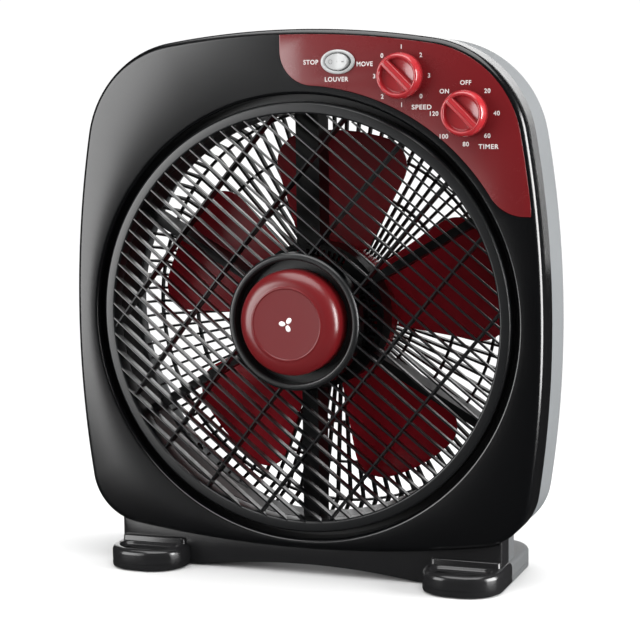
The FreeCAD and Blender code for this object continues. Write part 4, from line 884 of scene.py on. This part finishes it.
slat_start, slat_middle, slat_end = 53.6 * MM, 110.7 * MM, 166.7 * MM
front_bowl = bowl((slat_start, hub_front + 2 * MM), (slat_middle, hub_front + 7.5 * MM),
                  (slat_end, rim_front + 0.4 * MM))
rear_bowl = bowl((slat_start, hub_rear - 1 * MM), (slat_middle, rim_rear - 9.5 * MM),
                 (slat_end, rim_rear - 1 * MM))


def slat_tree():
    """Parallel slats across a disc, split at the hub and following a dome in front and behind."""
    sizes = ["Pitch", "Thickness", "Reach", "Hub Reach", "Axis Height", "Turn", "Sink", "Edge", "Lean",
             "Level", "Front Height", "Front Slope", "Front Bend", "Rear Height", "Rear Slope", "Rear Bend"]
    tree, given, result = new_tree("slats_on_a_dome", ("Count", "NodeSocketInt"),
                                   *[(label, "NodeSocketFloat") for label in sizes],
                                   ("Finish", "NodeSocketMaterial"))
    nodes, links = tree.nodes, tree.links
    value = given.outputs

    def calc(operation, first, second=None, third=None):
        return node_value(tree, operation, first, second, third)

    blank = nodes.new("GeometryNodeMeshCube")
    blank.inputs["Size"].default_value = (1, 1, 1)
    for axis, count in (("X", 26), ("Y", 5), ("Z", 2)):
        blank.inputs["Vertices " + axis].default_value = count
    line = nodes.new("GeometryNodeMeshLine")
    line.inputs["Offset"].default_value = (0, 0, 0)
    links.new(calc("MULTIPLY", value["Count"], 2.0), line.inputs["Count"])
    copies = nodes.new("GeometryNodeInstanceOnPoints")
    links.new(line.outputs["Mesh"], copies.inputs["Points"])
    links.new(blank.outputs["Mesh"], copies.inputs["Instance"])
    number = nodes.new("GeometryNodeInputIndex")
    mark = nodes.new("GeometryNodeStoreNamedAttribute")
    mark.domain = "INSTANCE"
    mark.data_type = "FLOAT"
    mark.inputs["Name"].default_value = "slat"
    links.new(copies.outputs["Instances"], mark.inputs["Geometry"])
    links.new(number.outputs[0], mark.inputs["Value"])
    solid = nodes.new("GeometryNodeRealizeInstances")
    links.new(mark.outputs["Geometry"], solid.inputs["Geometry"])

    read = nodes.new("GeometryNodeInputNamedAttribute")
    read.data_type = "FLOAT"
    read.inputs["Name"].default_value = "slat"
    index = read.outputs["Attribute"]
    row = calc("FLOOR", calc("MULTIPLY_ADD", index, 0.5, 0.01))
    side = calc("MULTIPLY_ADD", calc("SUBTRACT", calc("MULTIPLY_ADD", row, -2.0, index), 0.5), 2.0, 0.0)
    middle = calc("MULTIPLY", calc("SUBTRACT", value["Count"], 1.0), 0.5)
    across = calc("MULTIPLY", calc("SUBTRACT", row, middle), value["Pitch"])
    square = calc("MULTIPLY", across, across)

    def half_chord(reach):
        return calc("SQRT", calc("MAXIMUM", calc("SUBTRACT", calc("MULTIPLY", reach, reach), square), 0.0))

    outer, inner = half_chord(value["Reach"]), half_chord(value["Hub Reach"])
    place = nodes.new("GeometryNodeInputPosition")
    split = nodes.new("ShaderNodeSeparateXYZ")
    links.new(place.outputs[0], split.inputs[0])
    share = calc("ADD", split.outputs["X"], 0.5)
    along = calc("MULTIPLY_ADD", calc("SUBTRACT", outer, inner), share, inner)
    along = calc("MULTIPLY", along, side)
    radius = calc("SQRT", calc("MULTIPLY_ADD", along, along, square))

    def dome(part):
        bent = calc("MULTIPLY_ADD", value[part + " Bend"], radius, value[part + " Slope"])
        return calc("MULTIPLY_ADD", bent, radius, value[part + " Height"])

    front = calc("ADD", dome("Front"), value["Sink"])
    depth_share = calc("ADD", split.outputs["Y"], 0.5)
    near_edge = calc("SUBTRACT", 1.0, calc("MULTIPLY", calc("ABSOLUTE", split.outputs["Y"]), 2.0))
    on_edge = calc("LESS_THAN", near_edge, 0.01)
    whole = calc("SUBTRACT", dome("Rear"), front)
    off_quarter = calc("ABSOLUTE", calc("SUBTRACT", calc("ABSOLUTE", split.outputs["Y"]), 0.25))
    on_quarter = calc("LESS_THAN", off_quarter, 0.05)
    way = calc("MULTIPLY", on_quarter, calc("SIGN", split.outputs["Y"]))
    chamfer = calc("MULTIPLY", way, calc("SUBTRACT", calc("MULTIPLY", whole, 0.25), value["Edge"]))
    deep = calc("ADD", calc("MULTIPLY_ADD", whole, depth_share, front), chamfer)
    taper = calc("MULTIPLY", on_edge, calc("MULTIPLY", value["Edge"], 1.5))
    slim = calc("SUBTRACT", value["Thickness"], taper)
    sideways = calc("MULTIPLY_ADD", split.outputs["Z"], slim, across)
    sideways = calc("MULTIPLY_ADD", calc("SUBTRACT", deep, value["Level"]), value["Lean"], sideways)
    moved = nodes.new("ShaderNodeCombineXYZ")
    for axis, source in (("X", along), ("Y", deep), ("Z", sideways)):
        links.new(source, moved.inputs[axis])
    shaped = nodes.new("GeometryNodeSetPosition")
    links.new(solid.outputs["Geometry"], shaped.inputs["Geometry"])
    links.new(moved.outputs[0], shaped.inputs["Position"])

    ends = nodes.new("GeometryNodeDeleteGeometry")
    ends.domain = "FACE"
    face_place = nodes.new("GeometryNodeInputPosition")
    face_split = nodes.new("ShaderNodeSeparateXYZ")
    links.new(face_place.outputs[0], face_split.inputs[0])
    inside = calc("LESS_THAN", calc("ABSOLUTE", face_split.outputs["X"]), 1e-5)
    links.new(shaped.outputs["Geometry"], ends.inputs["Geometry"])
    links.new(inside, ends.inputs["Selection"])
    joined = nodes.new("GeometryNodeMergeByDistance")
    joined.inputs["Distance"].default_value = 1e-6
    links.new(ends.outputs["Geometry"], joined.inputs["Geometry"])
    placed = nodes.new("GeometryNodeTransform")
    links.new(joined.outputs["Geometry"], placed.inputs["Geometry"])
    lift, turning = nodes.new("ShaderNodeCombineXYZ"), nodes.new("ShaderNodeCombineXYZ")
    links.new(value["Axis Height"], lift.inputs["Z"])
    links.new(value["Turn"], turning.inputs["Y"])
    links.new(lift.outputs[0], placed.inputs["Translation"])
    links.new(turning.outputs[0], placed.inputs["Rotation"])
    return end_tree(tree, placed.outputs["Geometry"], given, result)


slats_on_dome = slat_tree()


def slats(name, count, pitch, thickness, turn, sink, lean):
    blank = add_object(name, [(0, 0, 0)], [])
    front, rear = front_bowl, rear_bowl
    return grow(blank, slats_on_dome, count=count, pitch=pitch, thickness=thickness,
                reach=rim_inner + 2 * MM, hub_reach=hub_outer - 2.5 * MM, axis_height=axis_z,
                turn=turn, sink=sink,
                front_height=front[0], front_slope=front[1], front_bend=front[2], rear_height=rear[0],
                rear_slope=rear[1], rear_bend=rear[2], edge=0.45 * MM, lean=lean, level=slat_level,
                finish=louver_grey)


slat_count, slat_pitch, slat_thickness = 35, 9.65 * MM, 1.6 * MM
tie_count, tie_pitch, tie_thickness, tie_sink = 6, 48.6 * MM, 1.7 * MM, 0.8 * MM
louver = slats("louver_moulding", slat_count, slat_pitch, slat_thickness, slat_turn, 0.0, slat_lean)
louver_parts = [slats("louver_ties", tie_count, tie_pitch, tie_thickness, slat_turn + math.pi / 2,
                      tie_sink, 0.0)]
louver_parts.append(lathe("louver_rim", soft([
    (rim_inner, rim_front + 1.2 * MM), (rim_inner + 1.2 * MM, rim_front),
    (rim_outer - 1.6 * MM, rim_front + 0.3 * MM),
    (rim_outer, rim_front + 2.2 * MM), (rim_outer, rim_rear), (rim_outer - 2.4 * MM, rim_rear),
    (rim_outer - 2.6 * MM, rim_front + 3 * MM), (rim_inner + 2.4 * MM, rim_front + 3 * MM),
    (rim_inner + 2.2 * MM, rim_rear), (rim_inner, rim_rear)], 0.5 * MM, 3), steps=256))
louver_parts.append(lathe("louver_hub_ring", soft([
    (hub_inner, hub_front + 0.6 * MM), (hub_inner + 1.2 * MM, hub_front), (hub_outer - 1.6 * MM, hub_front),
    (hub_outer, hub_front + 1.6 * MM), (hub_outer, hub_rear), (hub_inner, hub_rear)], 0.6 * MM, 3),
                          steps=200))
screw_bore, boss_outer = 3.1 * MM, 7.5 * MM
louver_parts.append(lathe("louver_hub_floor", [
    (screw_bore, hub_floor), (hub_inner + 1 * MM, hub_floor), (hub_inner + 1 * MM, hub_floor + 2.5 * MM),
    (boss_outer, hub_floor + 2.5 * MM), (boss_outer, hub_floor + 11 * MM),
    (screw_bore, hub_floor + 11 * MM)], steps=120))
merge(louver, louver_parts)
tidy(louver, 32)
fit(louver, "louver", "louver_grey", louver_grey, "louver_grille")

# ---- Louver cap ----
# A glossy red dome that snaps into the middle of the louver and hides its screw.  A fine raised line
# runs round its middle, which carries a small white three-bladed fan sign.
cap_low, cap_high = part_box("louver_cap")
cap_front, cap_radius = cap_low[1], cap_high[0]
cap_line = 28.9 * MM
cap_red = plastic("red_lacquered_cap", (0.10, 0.0040, 0.0056), 0.3, grain_scale=1600, grain=0.15, smudge=0.06,
                  tone=0.06, depth=0.004, coat=0.1, coat_roughness=0.15)
cap_profile = [(0, cap_front + 0.9 * MM), (cap_line * 0.5, cap_front + 0.8 * MM),
               (cap_line - 2.4 * MM, cap_front + 0.65 * MM),
               (cap_line - 1.0 * MM, cap_front + 0.6 * MM), (cap_line - 0.5 * MM, cap_front + 0.15 * MM),
               (cap_line, cap_front), (cap_line + 0.5 * MM, cap_front + 0.15 * MM),
               (cap_line + 1.0 * MM, cap_front + 0.62 * MM)]
for step in range(13):
    a = math.pi / 2 * step / 12
    cap_profile.append((cap_line + 2 * MM + (cap_radius - cap_line - 2.2 * MM) * math.sin(a) ** 1.1,
                        cap_front + 0.8 * MM + 9.5 * MM * (1 - math.cos(a) ** 1.15)))
cap_profile += [(cap_radius, cap_front + 13 * MM), (cap_radius, cap_high[1]),
                (cap_radius - 2 * MM, cap_high[1]),
                (cap_radius - 2.4 * MM, cap_front + 13 * MM), (cap_radius - 8 * MM, cap_front + 6 * MM),
                (0, cap_front + 3.5 * MM)]
cap = lathe("louver_cap_moulding", cap_profile, steps=160, closed=False, angle=35)
fit(cap, "louver", "red_panel", cap_red, "louver_cap")

sign_y = cap_front + 0.78 * MM
sign_verts, sign_faces = [], []
for blade in range(3):
    base = len(sign_verts)
    for i in range(17):
        t = i / 16
        out = (1.1 + 5.2 * math.sin(math.pi * t * 0.98 + 0.03) ** 0.8) * MM
        turn = 2 * math.pi * blade / 3 + math.radians(12) + t * 1.45
        sign_verts.append((out * math.cos(turn), sign_y, axis_z + out * math.sin(turn)))
    root, turn = 0.9 * MM, turn - 0.7
    sign_verts.append((root * math.cos(turn), sign_y, axis_z + root * math.sin(turn)))
    sign_faces.append(tuple(range(base, base + 18)))
sign = tidy(add_object("louver_cap_sign", sign_verts, sign_faces))
sheet = sign.modifiers.new("ink", "SOLIDIFY")
sheet.thickness = 0.12 * MM
sheet.offset = 0
apply_modifiers(sign)
white_ink = plastic("white_pad_printing", (0.72, 0.71, 0.7), 0.4, grain_scale=1800, grain=0.4,
                    tone=0.1, depth=0.01)
fit(sign, "louver", "white_plastic", white_ink)

# ---- Fan blades ----
# Five broad twisted blades moulded in one with their hub cup in dark red translucent plastic, pinned
# to the motor shaft and held by a nut behind.
hub_low, hub_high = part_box("fan_hub")
blade_red = plastic("dark_red_polystyrene", (0.36, 0.012, 0.022), 0.26, grain_scale=600,
                    grain=0.12, smudge=0.06, tone=0.1, depth=0.004, coat=0.2, coat_roughness=0.1)
tip_radius, hub_radius = 151 * MM, 57.2 * MM
root_half, root_place = 26 * MM, 53.2 * MM
side_lean = math.radians(22)
tip_corner = 24 * MM
hub_face, hub_back = hub_low[1], hub_high[1]


def blade_top():
    """The rounded end of a blade, from its left side over the tip to its right side."""
    away = Vector((math.cos(side_lean), -math.sin(side_lean)))
    up = Vector((math.sin(side_lean), math.cos(side_lean)))
    start = Vector((root_half, root_place)) - away * tip_corner
    along = start.dot(up)
    run = -along + math.sqrt(along ** 2 - start.dot(start) + (tip_radius - tip_corner) ** 2)
    centre = start + up * run
    first = math.atan2(away.y, away.x)
    last = math.atan2(centre.y, centre.x)
    right = [centre + tip_corner * Vector((math.cos(first + (last - first) * i / 12),
                                           math.sin(first + (last - first) * i / 12))) for i in range(13)]
    half_turn = math.pi / 2 - last
    right += [tip_radius * Vector((math.cos(last + half_turn * i / 14), math.sin(last + half_turn * i / 14)))
              for i in range(1, 15)]
    left = [Vector((-p.x, p.y)) for p in right[:-1]]
    return left + right[::-1]


def blade_depth(x, r):
    """Depth of a blade's skin: it leans back across its width, arched, and both grow towards the tip."""
    part = (r - 55 * MM) / (102 * MM)
    u = x / ((30 + 44 * part) * MM)
    front, back = (21.5 - part) * MM, (46.5 + 7 * part) * MM
    return front + (back - front) * (u + 1) / 2 + (2.5 + 4.5 * part) * MM * (1 - u * u)


top_line = blade_top()
columns, rows = len(top_line), 24
blade_verts, blade_faces = [], []
for j in range(rows + 1):
    for i, end in enumerate(top_line):
        start = Vector((root_half * (2 * i / (columns - 1) - 1), root_place))
        spot = start + (end - start) * (j / rows)
        blade_verts.append((spot.x, blade_depth(spot.x, spot.y), spot.y))
for j in range(rows):
    for i in range(columns - 1):
        a = j * columns + i
        blade_faces.append((a, a + 1, a + columns + 1, a + columns))
blades = add_object("fan_moulding", blade_verts, blade_faces)
blades.data.shade_smooth()
blade_thickness, blade_edge = 2.0 * MM, 0.7 * MM
thicken = blades.modifiers.new("wall", "SOLIDIFY")
thicken.thickness, thicken.offset = blade_thickness, -1
soften = blades.modifiers.new("edge", "BEVEL")
soften.width, soften.segments = blade_edge, 3
soften.limit_method, soften.angle_limit = "ANGLE", math.radians(60)
bpy.context.view_layer.update()
apply_modifiers(blades)
blade_count = 5
grow(blades, round_copies, count=blade_count, axis_height=axis_z, start_angle=math.radians(-5),
     finish=blade_red)
hub_wall, boss_radius, bore_radius = 2.6 * MM, 11.5 * MM, 4 * MM
hub_profile = [(bore_radius, hub_back), (hub_radius - 4 * MM, hub_back),
               (hub_radius - 1.2 * MM, hub_back - 1.2 * MM), (hub_radius, hub_back - 4 * MM),
               (hub_radius, hub_face), (hub_radius - hub_wall, hub_face),
               (hub_radius - hub_wall, hub_back - 4 * MM), (boss_radius, hub_back - 4 * MM),
               (boss_radius, hub_back - 4.6 * MM), (bore_radius, hub_back - 4.6 * MM)]
hub = lathe("fan_hub", soft(hub_profile, 0.8 * MM, 3), steps=144)
merge(blades, [hub])
tidy(blades, 35)
fit(blades, "fan_rotor", "blade_red", blade_red, "fan_blade", "fan_hub")

# ---- Stand ----
# Two mouldings screwed together under the case: a glossy front and a textured rear, each a bridge with
# an arched foot line and two broad feet.  The front feet have dished tops and a collar at the bridge.
stand_low, stand_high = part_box("stand_front")
stand_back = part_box("stand_rear")[1][1]
stand_half, stand_joint = 166 * MM, stand_high[1]
bridge_front, bridge_back = -31 * MM, 6 * MM
foot_base, foot_height, foot_centre, foot_half = stand_low[2], 18.1 * MM, 136.6 * MM, 32.5 * MM
arch_radius, arch_top, stand_gap = 630 * MM, 8 * MM, 0.3 * MM


def case_underside(x):
    """Height of the case's outline under the axis at a place across, with the stand's gap."""
    below = [p for p in outline(-stand_gap) if p[1] < -100 * MM]
    below.sort(key=lambda p: p[0])
    for a, b in zip(below, below[1:]):
        if a[0] <= x <= b[0]:
            return a[1] + (b[1] - a[1]) * (x - a[0]) / max(b[0] - a[0], 1e-9)
    return below[0][1]


def bridge(name, front, back, edge):
    upper, lower = [], []
    steps = 96
    for i in range(steps + 1):
        x = stand_half * (2 * i / steps - 1)
        upper.append((x, case_underside(x)))
        arch = arch_top - arch_radius + math.sqrt(arch_radius ** 2 - x ** 2)
        lower.append((x, max(arch, foot_base) - axis_z))
    return plate(name, lower + upper[::-1], front, back, edge, 4)


def round_block(corners, radii, steps=10):
    """Plan of a block with rounded corners, counter-clockwise from the front left: (x, y) places."""
    (x0, y0), (x1, y1) = corners
    centres = [(x0, y0, 1, 1, math.pi), (x1, y0, -1, 1, 1.5 * math.pi), (x1, y1, -1, -1, 0.0),
               (x0, y1, 1, -1, 0.5 * math.pi)]
    points = []
    for (cx, cy, sx, sy, first), radius in zip(centres, radii):
        for i in range(steps + 1):
            a = first + math.pi / 2 * i / steps
            points.append((cx + sx * radius + radius * math.cos(a), cy + sy * radius + radius * math.sin(a)))
    return points


def foot(name, side, front, back, radii, dish=None):
    """A broad foot with a rounded top edge; a dish may sink into its top."""
    left, right = side * foot_centre - foot_half, side * foot_centre + foot_half

    def level(inset, z, trim=0.0):
        rad = [max(r - inset, 0.4 * MM) for r in radii]
        low = front + (inset if radii[0] > 2 * MM else trim)
        high = back - (inset if radii[2] > 2 * MM else trim)
        return [Vector((x, y, z)) for x, y in round_block(((left + inset, low), (right - inset, high)), rad)]

    soft_edge = 4.5 * MM
    rings = [level(0.9 * MM, foot_base), level(0.25 * MM, foot_base + 0.3 * MM), level(0, foot_base + 1 * MM),
             level(0, foot_base + 4.6 * MM), level(0.35 * MM, foot_base + 4.8 * MM),
             level(0.35 * MM, foot_base + 5.4 * MM),
             level(0, foot_base + 5.6 * MM)]
    for i in range(9):
        a = math.pi / 2 * i / 8
        rings.append(level(soft_edge * (1 - math.cos(a)), foot_height - soft_edge * (1 - math.sin(a))))
    middle = Vector((side * foot_centre, (front + back) / 2, foot_height))
    if dish:
        dish_front, dish_back, margin, corner, rear_corner, depth = dish
        plan = ((left + margin, dish_front), (right - margin, dish_back))
        for inset, share in ((-1.2, 0.0), (-0.5, 0.12), (0.0, 0.6), (0.5, 1.4), (1.3, 2.5), (2.6, 3.2),
                             (4.5, 3.5)):
            grow_by = inset * MM
            corners = ((plan[0][0] + grow_by, plan[0][1] + grow_by),
                       (plan[1][0] - grow_by, plan[1][1] - grow_by))
            rad = [corner - grow_by, corner - grow_by, rear_corner - grow_by, rear_corner - grow_by]
            z = foot_height - share * MM * depth / 3.5
            rings.append([Vector((x, y, z)) for x, y in round_block(corners, rad)])
        middle = Vector((side * foot_centre, (dish_front + dish_back) / 2, foot_height - depth * MM))
    last = rings[-1]
    for share in (0.75, 0.5, 0.25, 0.004):
        rings.append([middle + (v - middle) * share for v in last])
    base_middle = Vector((side * foot_centre, (front + back) / 2, foot_base))
    rings.append([base_middle + (v - base_middle) * 0.004 for v in rings[0]])
    return skin(name, rings, closed=True, angle=40)


def collar(name, side):
    """The sleeve that stands up round the bridge's foot."""
    left, right = side * foot_centre - foot_half + 4 * MM, side * foot_centre + foot_half - 4 * MM
    front, back, height = bridge_front - 4 * MM, bridge_front + 0.5 * MM, 23 * MM
    rings = []
    radii = [3 * MM, 3 * MM, 0.3 * MM, 0.3 * MM]
    for inset, z in ((0, foot_base), (0, height - 1.5 * MM), (0.4 * MM, height - 0.5 * MM),
                     (1.2 * MM, height)):
        corners = ((left + inset, front + inset), (right - inset, back))
        rings.append([Vector((x, y, z)) for x, y in round_block(corners, radii, 6)])
    middle = sum(rings[-1], Vector()) / len(rings[-1])
    rings.append([middle + (v - middle) * 0.01 for v in rings[-1]])
    low = Vector((middle.x, middle.y, foot_base))
    rings.append([low + (v - low) * 0.01 for v in rings[0]])
    return skin(name, rings, closed=True, angle=40)


stand_black = plastic("gloss_black_abs_stand", (0.0095, 0.0095, 0.01), 0.2, grain_scale=500,
                      grain=0.15, smudge=0.07, tone=0.1, depth=0.004)
front_stand = bridge("stand_front_moulding", bridge_front, stand_joint, 1.6 * MM)
front_feet = []
toe, joint_edge, dish_margin = 27 * MM, 0.6 * MM, 7 * MM
front_dish = (stand_low[1] + dish_margin, bridge_front - 5.5 * MM, dish_margin, 18 * MM, 9 * MM, 3.5)
for side in (-1, 1):
    front_feet.append(foot("front_foot", side, stand_low[1], stand_joint,
                           [toe, toe, joint_edge, joint_edge], front_dish))
    front_feet.append(collar("front_foot_collar", side))
merge(front_stand, front_feet)
fit(front_stand, "case", "gloss_black", stand_black, "stand_front")

stand_grey = plastic("spark_textured_grey_stand", (0.075, 0.078, 0.08), 0.5, grain_scale=1500,
                     grain=1.0, smudge=0.1, tone=0.12, depth=0.1)
rear_stand = bridge("stand_rear_moulding", bridge_back, stand_joint, 1.6 * MM)
rear_feet = [foot("rear_foot", side, stand_joint, stand_back, [joint_edge, joint_edge, toe, toe])
             for side in (-1, 1)]
merge(rear_stand, rear_feet)
fit(rear_stand, "case", "textured_grey", stand_grey, "stand_rear")

# ---- Screws ----
# Zinc-plated pan-head screws with a cross recess hold the shells, the grille, the stand, the motor
# bracket and the louver's gear motor.  One screw is made, and a tree copies it to each of its places.
def metal(name, colour, roughness, grain_scale, grain, tone, smudge=0.25, relief=0.05 * MM):
    material, shader = grained(name, colour, roughness, grain_scale, grain, smudge, tone, relief)
    shader.inputs["Metallic"].default_value = 1.0
    return material


plated_steel = metal("zinc_plated_steel", (0.52, 0.52, 0.5), 0.32, 2400, 0.5, 0.25, smudge=0.2, relief=0)


def screw_tree():
    """A screw copied to each place of another object."""
    tree, given, result = new_tree("screws_at_places", ("Places", "NodeSocketObject"),
                                   ("Finish", "NodeSocketMaterial"))
    nodes, links = tree.nodes, tree.links
    spots = nodes.new("GeometryNodeObjectInfo")
    links.new(given.outputs["Places"], spots.inputs["Object"])
    spin = nodes.new("FunctionNodeRandomValue")
    spin.data_type = "FLOAT"
    spin.inputs[3].default_value = math.pi
    spin.inputs["Seed"].default_value = 7
    solid = copy_to(tree, spots.outputs["Geometry"], given.outputs["Geometry"], spin.outputs[1])
    return end_tree(tree, solid, given, result)


screws_at_places = screw_tree()
head_radius, head_height, shank_radius = 3.5 * MM, 2.1 * MM, 1.4 * MM


def screws(node, places):
    """Replaces a node of screws: every screw has its head at the back and its tip at the front."""
    low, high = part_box(node)
    length = high[1] - low[1]
    seat = -head_height
    profile = [(0, 0), (1.2 * MM, 0), (2.3 * MM, -0.25 * MM), (3.1 * MM, -0.8 * MM), (head_radius, -1.5 * MM),
               (head_radius, seat), (shank_radius, seat)]
    turns = 5
    for i in range(turns):
        start = seat - (length - head_height - 2 * MM) * (i + 0.3) / turns
        profile += [(shank_radius - 0.3 * MM, start), (shank_radius, start - 0.5 * MM),
                    (shank_radius - 0.3 * MM, start - 1.0 * MM)]
    profile += [(shank_radius - 0.3 * MM, 2 * MM - length), (0, -length)]
    screw = lathe(node + "_set", profile, 0, -axis_z, steps=24, closed=False, angle=35)
    slots = []
    for width, height in ((3.4, 0.8), (0.8, 3.4)):
        w, h = width * MM / 2, height * MM / 2
        slots.append(plate("cross", [(-w, -h - axis_z), (w, -h - axis_z), (w, h - axis_z), (-w, h - axis_z)],
                           -1.3 * MM, 1 * MM))
    carve(screw, slots, 35)
    spots = add_object("places", [(x, high[1], axis_z + z) for x, z in places], [])
    grow(screw, screws_at_places, places=spots, finish=plated_steel)
    bpy.data.objects.remove(spots)
    fit(screw, "case", "plated_steel", plated_steel, node)


def four(offset):
    return [(sx * offset * MM, sz * offset * MM) for sx in (-1, 1) for sz in (-1, 1)]


screws("case_screws", [(x * MM, z * MM) for x, z in post_places])
grille_offset, bracket_offset, stand_screw_height = 127.3, 133.2, 26 * MM
screws("grille_screws", four(grille_offset))
screws("bracket_screws", four(bracket_offset))
screws("stand_screws", [(side * foot_centre, stand_screw_height - axis_z) for side in (-1, 1)])

# ---- Motor bracket, motor and other inner parts ----
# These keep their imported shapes: the black bracket with its six arms and vented cover, the cast and
# laminated motor, the gear motor, the switches and the wiring, each in its own material.
finishes = {
    "black_plastic": black_plastic, "white_plastic": switch_white, "plated_steel": plated_steel,
    "gloss_black": gloss_black, "textured_grey": textured_grey, "red_panel": red_panel, "red_knob": red_knob,
    "blade_red": blade_red, "louver_grey": louver_grey,
    "switch_plastic": plastic("brown_black_phenolic", (0.03, 0.024, 0.02), 0.45, grain_scale=700, grain=0.6,
                              smudge=0.1, tone=0.3, depth=0.03),
    "soft_rubber": plastic("matt_black_rubber", (0.014, 0.014, 0.014), 0.7, grain_scale=500, grain=1.0,
                           smudge=0.15, tone=0.3, depth=0.06),
    "lead_rubber": plastic("grey_lead_sleeve", (0.03, 0.03, 0.032), 0.55, grain_scale=800, grain=0.8,
                           smudge=0.1, tone=0.2, depth=0.05),
    "brass_metal": metal("sintered_brass", (0.6, 0.42, 0.18), 0.38, 1500, 0.6, 0.3),
    "copper_wire": metal("enamelled_copper_wire", (0.5, 0.19, 0.08), 0.35, 380, 1.0, 0.5),
    "core_iron": metal("laminated_core_iron", (0.3, 0.3, 0.31), 0.45, 420, 0.8, 0.35),
    "cast_aluminium": metal("cast_aluminium", (0.55, 0.56, 0.57), 0.5, 520, 1.0, 0.25),
}
for part in frame["record"]["subparts"]:
    node = frame["nodes"].get(part["node"])
    if node and part["material_slot"] in finishes:
        node.data.materials.clear()
        node.data.materials.append(finishes[part["material_slot"]])

# ---- Floor, light and camera ----
# A pale floor that fades into a white surround, a broad soft light at the left front that the glossy
# face mirrors, and soft lights at the right, above and behind.
surround_glow = 1.05
plain_floor, white_floor = 0.3, 0.75
floor_mesh = add_object("floor", [(-6, -6, 0), (6, -6, 0), (6, 8, 0), (-6, 8, 0)], [(0, 1, 2, 3)])
floor_finish, floor_nodes, floor_links = new_material("pale_floor")
floor_shader = floor_nodes["Principled BSDF"]
floor_shader.inputs["Base Color"].default_value = (0.56, 0.56, 0.56, 1)
floor_shader.inputs["Roughness"].default_value = 0.9
floor_shader.inputs["Specular IOR Level"].default_value = 0.1
floor_mesh.data.materials.append(floor_finish)

white = floor_nodes.new("ShaderNodeEmission")
white.inputs["Strength"].default_value = surround_glow
place = floor_nodes.new("ShaderNodeTexCoord")
reach = floor_nodes.new("ShaderNodeVectorMath")
reach.operation = "LENGTH"
fade = floor_nodes.new("ShaderNodeMapRange")
fade.inputs["From Min"].default_value = plain_floor
fade.inputs["From Max"].default_value = white_floor
fade.interpolation_type = "SMOOTHSTEP"
away = floor_nodes.new("ShaderNodeMixShader")
floor_links.new(place.outputs["Object"], reach.inputs[0])
floor_links.new(reach.outputs["Value"], fade.inputs["Value"])
floor_links.new(fade.outputs["Result"], away.inputs[0])
floor_links.new(floor_shader.outputs[0], away.inputs[1])
floor_links.new(white.outputs[0], away.inputs[2])
floor_links.new(away.outputs[0], floor_nodes["Material Output"].inputs["Surface"])
floor_mesh.visible_glossy = False

world = bpy.data.worlds.new("white_surround")
bpy.context.scene.world = world
world.use_nodes = True
sky_nodes, sky_links = world.node_tree.nodes, world.node_tree.links
sky_nodes.clear()
ray = sky_nodes.new("ShaderNodeLightPath")
sky_out = sky_nodes.new("ShaderNodeOutputWorld")
shown = None
for strength, kind in ((0.85, None), (0.02, "Is Glossy Ray"), (surround_glow, "Is Camera Ray")):
    glow = sky_nodes.new("ShaderNodeBackground")
    glow.inputs["Color"].default_value = (1, 1, 1, 1)
    glow.inputs["Strength"].default_value = strength
    if kind:
        choose = sky_nodes.new("ShaderNodeMixShader")
        sky_links.new(ray.outputs[kind], choose.inputs[0])
        sky_links.new(shown, choose.inputs[1])
        sky_links.new(glow.outputs[0], choose.inputs[2])
        shown = choose.outputs[0]
    else:
        shown = glow.outputs[0]
sky_links.new(shown, sky_out.inputs["Surface"])


def soft_light(name, place, aim, width, height, power):
    light = bpy.data.lights.new(name, "AREA")
    light.shape = "RECTANGLE"
    light.size, light.size_y = width, height
    light.energy = power
    obj = bpy.data.objects.new(name, light)
    bpy.context.collection.objects.link(obj)
    obj.location = place
    obj.rotation_euler = (Vector(aim) - Vector(place)).to_track_quat("-Z", "Y").to_euler()
    return obj


middle = (0, 0, 0.22)
soft_light("left_front_light", (-1.2, -1.2, 0.48), (0, 0, 0.46), 1.1, 1.25, 30)
soft_light("right_light", (2.0, 0.15, 0.4), middle, 1.4, 1.4, 120)
soft_light("top_light", (0.1, -0.3, 2.3), middle, 2.4, 2.4, 80)
soft_light("back_light", (-0.9, 2.6, 0.6), middle, 2.6, 1.2, 20).visible_camera = False

camera_data = bpy.data.cameras.new("camera")
camera_data.lens = 105.0
camera_data.sensor_width = 36.0
camera = bpy.data.objects.new("camera", camera_data)
bpy.context.collection.objects.link(camera)
right, up = Vector((0.93860, 0.34482, -0.01144)), Vector((-0.03163, 0.11900, 0.99239))
back = Vector((0.34356, -0.93109, 0.12260))
look = Matrix((right, up, back)).transposed().to_4x4()
camera.matrix_world = Matrix.Translation((0.5331, -1.4356, 0.3966)) @ look
bpy.context.scene.camera = camera
bpy.context.scene.view_settings.view_transform = "Standard"
